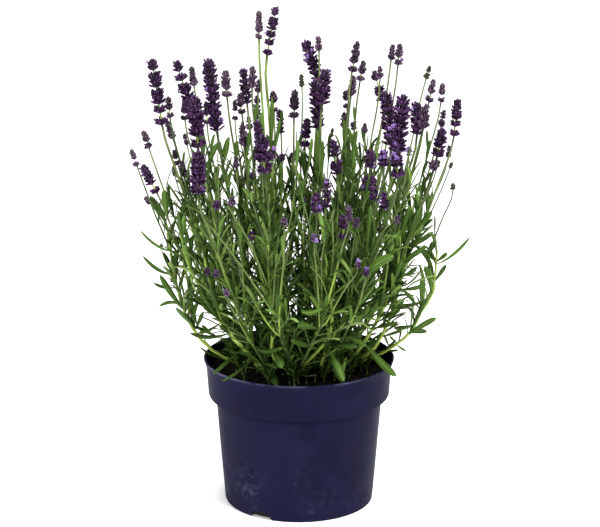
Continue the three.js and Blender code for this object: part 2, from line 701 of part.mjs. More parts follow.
function skin(start, rings, end) {
  const made = startSkin(start, rings[0]);
  for (const ring of rings.slice(1)) addRing(made, ring);
  return closeSkin(made, end);
}

// A three.js geometry as a solid
function solidOf(geometry) {
  geometry.deleteAttribute("normal");
  geometry.deleteAttribute("uv");
  const merged = mergeVertices(geometry, 1e-3);
  return solid(merged.attributes.position.array, merged.index.array);
}

function geometryOf(made) {
  const mesh = made.getMesh();
  const count = mesh.vertProperties.length / mesh.numProp;
  const position = new Float32Array(count * 3);
  for (let i = 0; i < count; i++) {
    position.set(mesh.vertProperties.subarray(i * mesh.numProp, i * mesh.numProp + 3), i * 3);
  }
  const geometry = new THREE.BufferGeometry();
  geometry.setAttribute("position", new THREE.BufferAttribute(position, 3));
  geometry.setIndex(new THREE.BufferAttribute(new Uint32Array(mesh.triVerts), 1));
  geometry.computeVertexNormals();
  return geometry;
}

// Ring of points round a centre, facing along a way
function ringRound(centre, way, radius, sides, turn) {
  const side = way.clone().cross(vector(1, 0, 0)).normalize();
  const across = side.clone().cross(way).normalize();
  return Array.from({ length: sides }, (_, k) => {
    const a = ((k + turn) * 2 * Math.PI) / sides;
    const p = centre.clone().addScaledVector(across, radius * Math.cos(a));
    return p.addScaledVector(side, radius * Math.sin(a));
  });
}

// Square stem along a centre line, from a point in the stem or foot that it grows out of, left open
function stemSkin(line, endWay, radiusAt) {
  const rings = line.slice(1).map((centre, i) => {
    const last = i + 2 === line.length;
    const way = last ? endWay : line[i + 2].clone().sub(line[i]).normalize();
    return ringRound(centre, way, radiusAt((i + 1) / (line.length - 1)) * STEM_CORNER, 4, 0);
  });
  const made = startSkin(line[0].clone(), rings[0]);
  for (const ring of rings.slice(1)) addRing(made, ring);
  return made;
}

function shootSolid(shoot) {
  const [before, end] = shoot.line.slice(-2);
  const endWay = end.clone().sub(before).normalize();
  const heightAt = (t) => SHOOT_START + (shoot.top - SHOOT_START) * t;
  return closeSkin(stemSkin(shoot.line, endWay, (t) => shootRadius(shoot, heightAt(t))), end.clone());
}

// A stalk stops just under its flower head; a small bud is of one piece with its stalk
function stalkSolid(head) {
  const line = head.knots.map((p) => p.clone());
  const end = line[line.length - 1];
  const up = head.tip.clone().sub(head.foot).normalize();
  if (head.ownNode) end.addScaledVector(up, -HEAD_SEAT_GAP);
  const made = stemSkin(line, up, (t) => stalkRadius(head, t));
  return head.ownNode ? closeSkin(made, end.clone()) : addWhorls(made, head);
}

// Flower head: a core of whorls with a spike for each floret that stands out of it
function addWhorls(made, head) {
  const up = head.tip.clone().sub(head.foot);
  const length = up.length();
  up.normalize();
  const parts = [...head.whorls].reverse();
  const units = parts.reduce((sum, part) => sum + WHORL_PARTS[part], 0);
  const step = length / (units + HEAD_TIP);
  const rachis = stalkRadius(head, 1) * 0.9;
  const at = (height) => head.foot.clone().addScaledVector(up, height);
  let height = 0;
  let turn = 0;
  parts.forEach((part, i) => {
    const high = step * WHORL_PARTS[part];
    const joined = parts[i + 1] === "O" && part === "O";
    const waist = i === parts.length - 1 ? 0.3 * head.radius : joined ? 0.55 * head.radius : rachis;
    const ring = ringRound(at(height + high), up, waist, made.sides, turn + (part === "O" ? 0.5 : 0));
    if (part === "O") {
      const size = head.radius * (height > 0.75 * length ? 0.8 : 1);
      const spikes = ringRound(at(height), up, size, made.sides, turn + 0.75);
      spikes.forEach((p, k) => {
        p.addScaledVector(up, high * (0.95 + 0.12 * (chance(head.index, i, k) - 0.5)));
      });
      addSpikes(made, ring, spikes);
      turn += 0.5;
    } else {
      addRing(made, ring);
    }
    height += high;
  });
  return closeSkin(made, head.tip.clone());
}

function headSolid(head) {
  const up = head.tip.clone().sub(head.foot).normalize();
  const sides = head.pixelWidth >= 15 ? 6 : head.pixelWidth >= 11 ? 5 : 4;
  const ring = ringRound(head.foot, up, stalkRadius(head, 1) * 0.9, sides, 0);
  return addWhorls(startSkin(head.foot.clone(), ring), head);
}

// Leaf blade: flat above with a keel below, sunk into the stem at its base
function leafSolid(leaf) {
  const rings = leaf.sections.map(({ at, width }) => {
    const centre = bezier(leaf, at);
    const ahead = bezier(leaf, at + 0.03).sub(bezier(leaf, at - 0.03)).normalize();
    const face = leaf.across.clone().cross(ahead).normalize();
    const half = leaf.halfWidth * width;
    return [
      centre.clone().addScaledVector(leaf.across, -half).addScaledVector(face, 0.25),
      centre.clone().addScaledVector(leaf.across, half).addScaledVector(face, 0.25),
      centre.clone().addScaledVector(face, -LEAF_KEEL * (0.6 + 0.4 * width)),
    ];
  });
  return skin(leaf.base, rings, leaf.tip);
}

// Pot
function lathe(outline, sides) {
  const geometry = new THREE.LatheGeometry(outline.map(([r, z]) => new THREE.Vector2(r, z)), sides);
  return solidOf(geometry.rotateX(Math.PI / 2));
}

// The pot's outline as [radius, height]: under the floor, up the outside, over the rim, down the inside
const POT_OUTLINE = [
  [0, 0],
  [FOOT_RADIUS - 1.2, 0],
  [FOOT_RADIUS, 1.4],
  [BODY_TOP_RADIUS, COLLAR_BOTTOM - 1.4],
  [BODY_TOP_RADIUS + 1.4, COLLAR_BOTTOM - 0.2],
  [COLLAR_RADIUS - COLLAR_TAPER - 0.8, COLLAR_BOTTOM],
  [COLLAR_RADIUS - COLLAR_TAPER, COLLAR_BOTTOM + 1.6],
  [COLLAR_RADIUS, POT_HEIGHT - LIP_HEIGHT],
  [RIM_RADIUS, POT_HEIGHT - 1.5],
  [RIM_RADIUS - 0.2, POT_HEIGHT],
  [RIM_RADIUS - WALL, POT_HEIGHT],
  [COLLAR_RADIUS - WALL, POT_HEIGHT - LIP_HEIGHT],
  [COLLAR_RADIUS - COLLAR_TAPER - WALL, COLLAR_BOTTOM + 2.2],
  [BODY_TOP_RADIUS - WALL, COLLAR_BOTTOM + 1.2],
  [FOOT_RADIUS - WALL, FLOOR],
  [0, FLOOR],
];

// A notch's cutter, a wedge that is wider at the foot of the wall than above
function notchCutter(i) {
  const box = new THREE.BoxGeometry(16, NOTCH.topWidth, NOTCH.height * 2);
  const corners = box.getAttribute("position");
  for (let k = 0; k < corners.count; k++) {
    if (corners.getZ(k) < 0) corners.setY(k, corners.getY(k) * (2 * (NOTCH.width / NOTCH.topWidth) - 1));
  }
  const angle = radians(NOTCH.firstAngle + (360 / NOTCH.count) * i);
  return solidOf(box.translate(FOOT_RADIUS, 0, 0).rotateZ(angle));
}

function drainCutter(i) {
  const a = ((i + 0.5) * 2 * Math.PI) / DRAIN.count;
  const hole = new THREE.CylinderGeometry(DRAIN.radius, DRAIN.radius, 20, DRAIN.sides);
  hole.rotateX(Math.PI / 2).translate(DRAIN.circle * Math.cos(a), DRAIN.circle * Math.sin(a), 0);
  return solidOf(hole);
}

function potSolid() {
  const notches = Array.from({ length: NOTCH.count }, (_, i) => notchCutter(i));
  const drains = Array.from({ length: DRAIN.count }, (_, i) => drainCutter(i));
  return lathe(POT_OUTLINE, POT_SIDES).subtract(wasm.Manifold.union([...notches, ...drains]));
}

// Height of the soil's surface: a low mound with lumps
function soilHeight(x, y) {
  const share = Math.hypot(x, y) / RIM_RADIUS;
  const lumps = Math.sin(x * 0.31 + y * 0.17) + Math.sin(y * 0.37 - x * 0.13 + 2) + Math.sin((x + y) * 0.23);
  return SOIL_EDGE + SOIL_MOUND * (1 - share * share) + SOIL_BUMP * 0.5 * lumps;
}

function soilSolid() {
  const inside = WALL + 2 * SOIL_GAP;
  const edge = COLLAR_RADIUS - 0.7 - inside;
  const sideOutline = [
    [FOOT_RADIUS - inside, FLOOR + SOIL_GAP],
    [BODY_TOP_RADIUS - inside, COLLAR_BOTTOM + 1.9],
    [COLLAR_RADIUS - COLLAR_TAPER - inside, COLLAR_BOTTOM + 3],
    [edge, SOIL_EDGE - 3],
  ];
  const ringAt = (radius, height) => {
    const ring = [];
    for (let k = 0; k < POT_SIDES; k++) {
      const a = (k * 2 * Math.PI) / POT_SIDES;
      const x = radius * Math.sin(a);
      const y = -radius * Math.cos(a);
      ring.push(vector(x, y, height ?? soilHeight(x, y)));
    }
    return ring;
  };
  const rings = sideOutline.map(([r, z]) => ringAt(r, z));
  for (const share of [1, 0.78, 0.5, 0.22]) rings.push(ringAt(edge * share));
  const block = skin(vector(0, 0, sideOutline[0][1]), rings, vector(0, 0, soilHeight(0, 0)));
  return block.subtract(wasm.Manifold.union(BRANCHES.map((branch) => footSolid(branch, SOIL_GAP))));
}

// Woody foot of a branch, or with extra room the hole that it stands in
function footSolid(branch, extra) {
  const g = spread(SHOOT_START);
  const width = FOOT_WIDTH + extra;
  const low = FOOT_LOW - extra;
  const high = FOOT_HIGH + extra * 20;
  const geometry = new THREE.CylinderGeometry(extra ? width : width * 0.7, width, high - low, FOOT_SIDES, 1);
  return solidOf(geometry.rotateX(Math.PI / 2).translate(branch.x * g, branch.y * g, (high + low) / 2));
}

// A branch with all that grows on it in green
function branchSolid(branch, index) {
  const own = (list) => list.filter((one) => one.branch === index);
  return wasm.Manifold.union([
    footSolid(branch, 0),
    ...own(shoots).map(shootSolid),
    ...own(heads).map(stalkSolid),
    ...own(leaves).map(leafSolid),
  ]);
}

// The largest heads are nodes of their own, and the small buds are of one piece with their stalks.
function chooseNodes() {
  const size = (head) => head.pixelWidth * head.foot.distanceTo(head.tip) * (head.tone === "green" ? 0.4 : 1);
  const order = [...heads].sort((a, b) => size(b) - size(a));
  order.forEach((head, i) => (head.ownNode = i < OWN_NODES));
}

// Materials
const finish = (colour, roughness) =>
  new THREE.MeshStandardMaterial({ color: colour, roughness, metalness: 0, flatShading: true });
const POT_BLUE = finish(0x23234a, 0.5);
const SOIL_BROWN = finish(0x2a1f18, 1);
const LEAF_GREEN = finish(0x4a7a33, 0.7);
const TONES = {
  bloom: finish(0x3b1f5a, 0.8),
  mauve: finish(0x6a5276, 0.85),
  dusk: finish(0x3a2a45, 0.85),
  green: finish(0x75835a, 0.85),
};

chooseNodes();
const leaves = growLeaves();
const plant = new THREE.Group();

function addNode(name, made, material) {
  const mesh = new THREE.Mesh(geometryOf(made), material);
  mesh.name = name;
  plant.add(mesh);
}

addNode("pot", potSolid(), POT_BLUE);
addNode("soil", soilSolid(), SOIL_BROWN);
BRANCHES.forEach((branch, i) => addNode(`branch_${branch.name}`, branchSolid(branch, i), LEAF_GREEN));
for (const head of heads.filter((one) => one.ownNode)) {
  const number = String(head.index + 1).padStart(3, "0");
  addNode(`flower_head_${number}`, headSolid(head), TONES[head.tone]);
}

export default plant;
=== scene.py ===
# %% [markdown]
# # A potted lavender
# The plant stands in a dark blue nursery pot. Leafy shoots rise from ten woody feet in the soil, and
# long bare stalks leave them, each with a whorled flower head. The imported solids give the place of
# everything, and each of them is replaced here by a finer piece of the same form.

# %% Load the frame
import math

import bmesh
import bpy
import numpy as np
from mathutils import Matrix, Vector, noise


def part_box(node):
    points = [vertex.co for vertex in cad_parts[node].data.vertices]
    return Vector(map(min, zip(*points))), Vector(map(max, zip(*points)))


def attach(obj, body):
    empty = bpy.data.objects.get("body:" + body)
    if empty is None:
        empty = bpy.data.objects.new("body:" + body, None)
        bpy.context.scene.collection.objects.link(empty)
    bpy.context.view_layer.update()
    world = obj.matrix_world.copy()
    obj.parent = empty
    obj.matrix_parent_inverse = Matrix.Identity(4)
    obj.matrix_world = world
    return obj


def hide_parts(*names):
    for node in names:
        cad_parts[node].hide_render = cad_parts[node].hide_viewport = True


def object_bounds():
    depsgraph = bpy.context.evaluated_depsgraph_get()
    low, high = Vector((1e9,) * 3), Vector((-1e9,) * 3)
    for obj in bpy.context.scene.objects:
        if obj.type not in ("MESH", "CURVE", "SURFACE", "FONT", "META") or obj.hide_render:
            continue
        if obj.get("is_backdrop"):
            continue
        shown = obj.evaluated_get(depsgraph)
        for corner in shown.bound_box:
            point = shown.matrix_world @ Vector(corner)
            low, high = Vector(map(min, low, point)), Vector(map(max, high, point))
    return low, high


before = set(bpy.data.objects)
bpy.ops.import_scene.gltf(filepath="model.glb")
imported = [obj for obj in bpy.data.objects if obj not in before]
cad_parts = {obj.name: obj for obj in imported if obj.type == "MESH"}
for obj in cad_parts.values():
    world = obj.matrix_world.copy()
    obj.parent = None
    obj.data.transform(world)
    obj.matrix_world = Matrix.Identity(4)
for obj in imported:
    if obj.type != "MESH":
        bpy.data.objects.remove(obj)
solid_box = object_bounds()
print("CAD box, mm:", [[round(1000 * v) for v in corner] for corner in solid_box])

# %% [markdown]
# ## The camera
# The photograph was taken with a long lens from about two metres, a little above the pot. The same
# view also says where each flower head is, so it comes first: a pixel and a depth make a point.

# %% The view in numbers, in millimetres and pixels
VIEW_WIDTH = 600
VIEW_HEIGHT = 527
FOCAL = 2266
DISTANCE = 2000
ELEVATION = math.radians(16)
AIM = np.array([1.0, 0.0, 218.6])
MM_PER_PIXEL = DISTANCE / FOCAL
AHEAD = np.array([0.0, math.cos(ELEVATION), -math.sin(ELEVATION)])
ACROSS = np.array([1.0, 0.0, 0.0])
UP = np.array([0.0, math.sin(ELEVATION), math.cos(ELEVATION)])
EYE = AIM - DISTANCE * AHEAD


def place(px, py, depth):
    """The point at a pixel of the view and a depth behind the pot's axis."""
    ray = AHEAD + ACROSS * ((px - VIEW_WIDTH / 2) / FOCAL) + UP * ((VIEW_HEIGHT / 2 - py) / FOCAL)
    return EYE + ray * ((depth - EYE[1]) / ray[1])


def pixel(points):
    """The pixels where points show."""
    away = np.atleast_2d(points) - EYE
    ahead = away @ AHEAD
    right, up = FOCAL * away[:, 0] / ahead, FOCAL * (away @ UP) / ahead
    return np.stack([VIEW_WIDTH / 2 + right, VIEW_HEIGHT / 2 - up], 1)


# %% The camera object
def add_object(name, data):
    """Puts a mesh, a camera or a lamp in the scene."""
    item = bpy.data.objects.new(name, data)
    bpy.context.scene.collection.objects.link(item)
    return item


camera_data = bpy.data.cameras.new("camera")
camera_data.sensor_width = 36
camera_data.lens = camera_data.sensor_width * FOCAL / VIEW_WIDTH
camera = add_object("camera", camera_data)
camera.location = EYE / 1000
camera.rotation_euler = (math.pi / 2 - ELEVATION, 0, 0)
bpy.context.scene.camera = camera
print("lens, mm:", round(camera_data.lens, 1))

# %% [markdown]
# ## How the bush grows
# A lavender bush is a fan: its stems start close together and spread as they rise. All of them
# follow one spreading field here, whose width grows with the square root of the height, so stems
# that start apart stay apart. The same numbers shaped the solids.

# %% The spreading field, in millimetres
CROWN_ROOT, CROWN_SPAN = 105, 235  # where the spreading starts, and how much higher it is full
SHOOT_START, SHOOT_TOP, SHOOT_TOP_FRONT = 126, 238, 0.3  # the last lowers the shoots in front
SHOOT_FAN, STALK_FAN = 60, 85  # the rise in which a shoot or a stalk moves out to its own place
JOINT_LOW, JOINT_HIGH = 134, 185  # where stalks leave their shoots
CLEARANCE = 0.7  # the least room between two parts of the plant

# %% Branches and their leafy shoots
# Each branch stands at a place in the field, and has the shoots that are nearest to it.
BRANCHES = {
    "left": (-115, 5),
    "front_left": (-82, -85),
    "front": (-8, -115),
    "front_right": (70, -92),
    "right": (120, -5),
    "back_right": (75, 85),
    "back": (0, 110),
    "back_left": (-75, 85),
    "inner_left": (-38, -8),
    "inner_right": (36, 4),
}

# Rings of leafy shoots: how many, how far out in the field, and the turn of the first in degrees
SHOOT_RINGS = [(4, 34, 20), (9, 80, 10), (13, 126, 4)]

# Shoots that show clearly in the photograph: the branch, the depth at the foot and at the top behind
# the pot's axis, and the pixels that the shoot passes from the foot up.
CLEAR_SHOOTS = [
    ("left", 0, -12, [(232, 361), (203, 342), (184, 311), (173, 267), (167, 225)]),
    ("front_left", -28, -38, [(256, 361), (226, 330), (202, 291), (186, 258), (180, 226)]),
    ("front_left", -32, -50, [(254, 360), (224, 323), (212, 290), (205, 262), (201, 232)]),
    ("front", -42, -62, [(273, 357), (273, 329), (272, 305), (269, 280), (268, 245)]),
    ("front", -45, -70, [(309, 360), (327, 340), (332, 318), (329, 291), (324, 262)]),
    ("front_right", -40, -60, [(322, 362), (333, 336), (345, 321), (351, 300), (353, 268)]),
    ("front_right", -25, -40, [(350, 361), (374, 326), (388, 297), (397, 270), (400, 236)]),
    ("right", -2, -10, [(364, 361), (394, 346), (412, 330), (421, 312), (433, 292), (437, 250)]),
    ("right", -14, -26, [(366, 356), (381, 337), (391, 316), (397, 296), (402, 272), (406, 246)]),
]
feet = np.array(list(BRANCHES.values()), float)
print("branches:", len(feet))

# %% Helpers for draws, places and directions
def chance(a, b, c):
    """A draw from 0 to 1 that depends only on its three numbers. The last tells kinds of draw apart."""
    s = math.sin(a * 12.9898 + b * 78.233 + c * 37.719) * 43758.5453
    return s - math.floor(s)


def clamp(value, low=0, high=1):
    return min(max(value, low), high)


def spread(z):
    """The field's width at a height, as a share of its full width."""
    return np.sqrt(np.maximum(z - CROWN_ROOT, 0.01) / CROWN_SPAN)


def fan(rise, height):
    return np.clip(rise / height, 0, 1) ** 0.7


def nearest(places, x, y):
    return int(np.argmin(np.hypot(places[:, 0] - x, places[:, 1] - y)))


def at_height(line, z):
    """The point of a rising line at a height."""
    return np.array([np.interp(z, line[:, 2], line[:, k]) for k in range(3)])


def unit(v):
    return v / np.linalg.norm(v, axis=-1, keepdims=True)


def distances(points, starts, ends):
    """From each point to each straight piece: one row a point, one column a piece."""
    along = ends - starts
    t = np.einsum("ijk,jk->ij", points[:, None] - starts, along) / np.einsum("jk,jk->j", along, along)
    t = np.clip(t, 0, 1)[..., None]
    return np.linalg.norm(points[:, None] - (starts + t * along), axis=2)


# %% Leafy shoots
foot_places = feet * spread(SHOOT_START)


def shoot_point(shoot, z):
    """The point of a shoot at a height, and above its top the point where it would go on."""
    if shoot["clear"] and z < shoot["top"]:
        return at_height(shoot["line"], z)
    if shoot["clear"]:
        return np.array([*(shoot["field"] * spread(z)), z])
    foot = feet[shoot["branch"]]
    share = fan(z - SHOOT_START, SHOOT_FAN)
    return np.array([*((foot + (shoot["field"] - foot) * share) * spread(z)), z])


shoots = []
for r, (count, radius, turn) in enumerate(SHOOT_RINGS):
    for k in range(count):
        angle = math.radians(turn + (360 * (k + 0.4 * (chance(r, k, 1) - 0.5))) / count)
        far = radius * (1 + 0.12 * (chance(r, k, 2) - 0.5))
        x, y = far * math.cos(angle), far * math.sin(angle)
        shoot = {"index": len(shoots), "branch": nearest(feet, x, y), "clear": False}
        shoot["field"] = np.array([x, y])
        shoot["top"] = SHOOT_TOP + SHOOT_TOP_FRONT * min(y, 0) + 18 * (chance(r, k, 3) - 0.5)
        heights = SHOOT_START + (shoot["top"] - SHOOT_START) * np.arange(5) / 4
        shoot["line"] = shoot["knots"] = np.array([shoot_point(shoot, z) for z in heights])
        shoots.append(shoot)
for name, low, high, route in CLEAR_SHOOTS:
    shoot = {"index": len(shoots), "branch": list(BRANCHES).index(name), "clear": True}
    start = [*foot_places[shoot["branch"]], SHOOT_START]
    places = [place(*spot, low + (high - low) * i / (len(route) - 1)) for i, spot in enumerate(route)]
    shoot["line"] = shoot["knots"] = np.array([start, *places])
    shoot["top"] = places[-1][2]
    shoot["field"] = places[-1][:2] / spread(shoot["top"])
    shoots.append(shoot)
shoot_fields = np.array([shoot["field"] for shoot in shoots])
print("leafy shoots:", len(shoots))

# %% [markdown]
# ## Where the flower heads are
# Each row is one head as it shows in the photograph: the pixel of its tip and of its foot, its width,
# its whorls from the tip down, how ripe it is, and a first guess of how far behind the pot's axis it
# stands. An O is a whorl of florets, a comma a short gap and a dot a longer one.

# %% The flower heads
HEADS = [
    (152, 60, 162, 125, 15, "O,OO,OO,O.O", "bloom", 10),
    (176, 61, 195, 120, 14, "O,O,OOOOO", "bloom", 15),
    (195, 98, 198, 148, 17, "OOOOO.O", "bloom", -45),
    (198, 153, 198, 194, 17, "OOOO,O", "bloom", -75),
    (191, 65, 194, 86, 9, "OOO", "mauve", 75),
    (184, 101, 185, 120, 9, "OO,O", "dusk", 55),
    (168, 95, 170, 118, 9, "OO,O", "dusk", 45),
    (166, 118, 173, 139, 9, "OOO", "mauve", 90),
    (143, 130, 149, 148, 9, "OO,O", "mauve", 10),
    (131, 149, 137, 166, 8, "OO.O", "mauve", 0),
    (142, 165, 157, 193, 11, "OOO.O", "bloom", -20),
    (144, 196, 151, 204, 7, "OO", "mauve", 20),
    (174, 150, 178, 165, 8, "OO.O", "dusk", 45),
    (181, 160, 184, 177, 8, "OOO", "dusk", 10),
    (173, 165, 175, 176, 7, "OO", "green", 75),
    (208, 59, 217, 131, 16, "OOOOOOOO", "bloom", -30),
    (225, 71, 227, 97, 11, "OOO,O", "mauve", 0),
    (206, 100, 207, 124, 9, "OO,O", "dusk", 65),
    (243, 67, 247, 103, 12, "OOOO", "bloom", 10),
    (253, 65, 252, 88, 10, "OOO", "mauve", -20),
    (259, 77, 258, 93, 8, "OO", "mauve", 35),
    (239, 93, 242, 114, 10, "OO,O", "mauve", 55),
    (235, 98, 235, 120, 7, "OO.O", "dusk", 100),
    (257, 94, 257, 119, 9, "OOO", "bloom", 65),
    (248, 113, 250, 130, 8, "OO", "dusk", 110),
    (242, 120, 244, 146, 10, "OOO", "mauve", -10),
    (257, 120, 260, 142, 11, "OOO", "bloom", -45),
    (261, 137, 265, 173, 17, "OOO.O", "bloom", -75),
    (273, 144, 273, 159, 7, "OO", "mauve", -30),
    (273, 91, 274, 112, 10, "OO.O", "mauve", 35),
    (279, 107, 281, 133, 9, "OOO", "bloom", 65),
    (259, 10, 259, 39, 8, "OOOO,O", "mauve", 10),
    (276, 7, 267, 55, 11, "O,OO,O,O.O", "bloom", 30),
    (305, 40, 318, 78, 15, "OOOO", "bloom", 20),
    (318, 34, 319, 51, 9, "OO", "mauve", 20),
    (326, 70, 322, 104, 15, "OOOO", "bloom", -20),
    (314, 79, 318, 128, 14, "OOOOO", "bloom", -20),
    (307, 119, 305, 147, 11, "OOO.O", "bloom", 0),
    (301, 72, 302, 87, 7, "OO", "green", 55),
    (295, 89, 294, 118, 11, "OOO,O", "dusk", 10),
    (358, 40, 352, 72, 10, "OOO,O", "dusk", 10),
    (364, 60, 360, 81, 9, "OO,O", "mauve", -15),
    (354, 75, 351, 96, 10, "OOO", "mauve", 45),
    (345, 90, 347, 108, 8, "OO.O", "dusk", 65),
    (344, 110, 345, 129, 11, "OO", "mauve", 10),
    (353, 119, 354, 130, 8, "O", "mauve", 75),
    (365, 122, 365, 133, 7, "OO", "mauve", 0),
    (333, 127, 331, 137, 5, "OO", "green", 35),
    (380, 64, 380, 79, 8, "OO", "mauve", 20),
    (374, 70, 382, 100, 12, "O.OO", "bloom", 65),
    (393, 42, 391, 60, 9, "OO", "mauve", 0),
    (400, 43, 398, 65, 9, "OO,O", "mauve", -15),
    (386, 92, 391, 145, 16, "OOOOO", "bloom", -40),
    (404, 96, 397, 152, 18, "OOOOOO", "bloom", -65),
    (416, 103, 417, 134, 14, "OOOO", "bloom", -15),
    (426, 103, 423, 129, 12, "OOO", "mauve", -40),
    (431, 63, 426, 79, 7, "OO", "green", 20),
    (434, 78, 429, 102, 9, "OO,O", "mauve", -10),
    (443, 82, 441, 102, 8, "OO,O", "mauve", 20),
    (445, 107, 441, 127, 9, "OO", "dusk", 45),
    (458, 99, 454, 136, 11, "OOO,O.O", "bloom", -5),
    (443, 129, 437, 157, 15, "OO,O", "bloom", -30),
    (434, 161, 433, 170, 10, "O", "dusk", -45),
    (450, 143, 448, 158, 7, "OO", "dusk", 35),
    (453, 181, 453, 190, 6, "O", "green", 0),
    (439, 158, 437, 167, 6, "O", "green", -20),
    (453, 160, 450, 168, 5, "O", "green", 45),
    (333, 140, 337, 174, 12, "OO.OO", "bloom", -15),
    (370, 149, 370, 167, 12, "OO", "bloom", -60),
    (383, 150, 384, 166, 12, "OO", "bloom", -80),
    (396, 150, 398, 177, 14, "OO.O", "bloom", -85),
    (366, 173, 366, 190, 8, "OO", "bloom", -50),
    (373, 173, 374, 200, 9, "OOO", "bloom", -65),
    (383, 190, 385, 208, 10, "OO", "bloom", -85),
    (316, 190, 317, 212, 12, "OO", "bloom", -95),
    (327, 176, 326, 207, 10, "OOO", "bloom", -80),
    (349, 203, 349, 221, 9, "OO", "mauve", -95),
    (343, 214, 343, 238, 9, "OO.O", "bloom", -75),
    (357, 216, 356, 227, 8, "O", "dusk", -85),
    (358, 257, 358, 268, 6, "O", "mauve", -95),
    (367, 265, 366, 276, 7, "O", "bloom", -90),
    (284, 216, 284, 225, 8, "O", "mauve", -100),
    (232, 195, 232, 206, 8, "O", "mauve", -85),
    (217, 199, 216, 209, 8, "O", "bloom", -60),
    (208, 265, 207, 275, 7, "O", "dusk", -60),
    (216, 267, 216, 277, 7, "O", "dusk", -75),
    (226, 286, 227, 296, 6, "O", "mauve", -85),
    (209, 227, 209, 237, 6, "O", "dusk", -35),
    (221, 230, 220, 240, 6, "O", "dusk", -50),
    (252, 229, 252, 239, 7, "O", "bloom", -70),
    (240, 267, 240, 275, 4, "O", "green", -95),
    (252, 172, 253, 179, 7, "O", "dusk", -15),
    (244, 176, 244, 184, 6, "O", "dusk", 20),
    (282, 153, 282, 161, 7, "O", "dusk", 0),
    (292, 152, 292, 163, 8, "OO", "mauve", 20),
    (236, 154, 236, 168, 8, "OO", "mauve", -10),
    (355, 144, 355, 156, 7, "OO", "mauve", 10),
    (409, 145, 409, 156, 6, "O", "mauve", 35),
    (304, 195, 304, 204, 6, "O", "dusk", -30),
    (161, 243, 161, 248, 4, "O", "green", 55),
    (172, 274, 173, 282, 5, "O", "dusk", 0),
    (380, 225, 380, 234, 6, "O", "dusk", -60),
    (397, 213, 396, 224, 8, "O", "mauve", -55),
    (314, 231, 314, 241, 6, "O", "mauve", -100),
    (184, 132, 187, 145, 7, "OO", "dusk", 70),
]
print("flower heads:", len(HEADS))


# %% Stalks
# A stalk leaves its shoot, follows the field, and bends near the top into its head's own direction.
BEND_START = 0.7
LINE_STEPS = 12
STALK_KNOTS = [0, 1, 6, 12]  # the steps of the line that the solids have
SWAY = 4


def field_point(head, z):
    """The point at a height of a stalk that follows the field, with a little sway of its own."""
    joint, foot_z = head["joint"], head["foot"][2]
    share = fan(z - joint, STALK_FAN) / fan(foot_z - joint, STALK_FAN)
    sway = SWAY * math.sin(math.pi * np.clip((z - joint) / (foot_z - joint), 0, 1)) ** 2
    off = np.array([chance(head["index"], axis, 1) - 0.5 for axis in (1, 2)])
    trunk = shoot_point(shoots[head["shoot"]], z)[:2]
    return np.array([*(trunk + (head["field"] * spread(z) - trunk) * share + sway * off), z])


def stalk_point(head, t):
    """The point of a stalk at a share of its length, from the shoot to the foot of its head."""
    foot, tip, joint = head["foot"], head["tip"], head["joint"]
    turn = joint + (foot[2] - joint) * BEND_START
    if t <= BEND_START:
        return field_point(head, joint + (turn - joint) * (t / BEND_START))
    s = (t - BEND_START) / (1 - BEND_START)
    start = field_point(head, turn)
    reach = np.linalg.norm(foot - start)
    start_way = unit(field_point(head, turn + 1) - field_point(head, turn - 1))
    end_way = unit(tip - foot)
    return (
        start * (2 * s**3 - 3 * s**2 + 1)
        + start_way * reach * (s**3 - 2 * s**2 + s)
        + foot * (3 * s**2 - 2 * s**3)
        + end_way * reach * (s**3 - s**2)
    )


# %% A head with its stalk
def stalk_radius(head, t):
    return 0.5 + 0.055 * (head["pixel_width"] - 5) + 0.3 * (1 - t)


def head_at(row, index, depth):
    """A head at a depth, with its shoot and its stalk."""
    tip_x, tip_y, foot_x, foot_y, pixel_width, whorls, tone = row[:7]
    head = {"index": index, "pixel_width": pixel_width, "whorls": whorls, "tone": tone}
    head["foot"] = place(foot_x, foot_y, depth)
    head["tip"] = place(tip_x, tip_y, depth * 1.03)
    head["radius"] = pixel_width / 2 * MM_PER_PIXEL
    head["field"] = head["foot"][:2] / spread(head["foot"][2])
    head["shoot"] = nearest(shoot_fields, *head["field"])
    shoot = shoots[head["shoot"]]
    head["branch"] = shoot["branch"]
    highest = min(JOINT_HIGH + 30 * (chance(index, 4, 4) - 0.5), shoot["top"] - 8)
    head["joint"] = min(max(head["foot"][2] - 60, JOINT_LOW), highest)
    head["line"] = np.array([stalk_point(head, i / LINE_STEPS) for i in range(LINE_STEPS + 1)])
    head["line"][0] = at_height(shoot["line"], head["joint"])
    head["knots"] = head["line"][STALK_KNOTS]
    head["core"] = head["foot"] + (head["tip"] - head["foot"]) * np.linspace(0, 1, 5)[:, None]
    return head


# %% Heads that clear each other
# Each head keeps its pixel and moves in depth until it and its stalk are clear of those before it.
def stack(items, key):
    return np.array([item[key] for item in items])


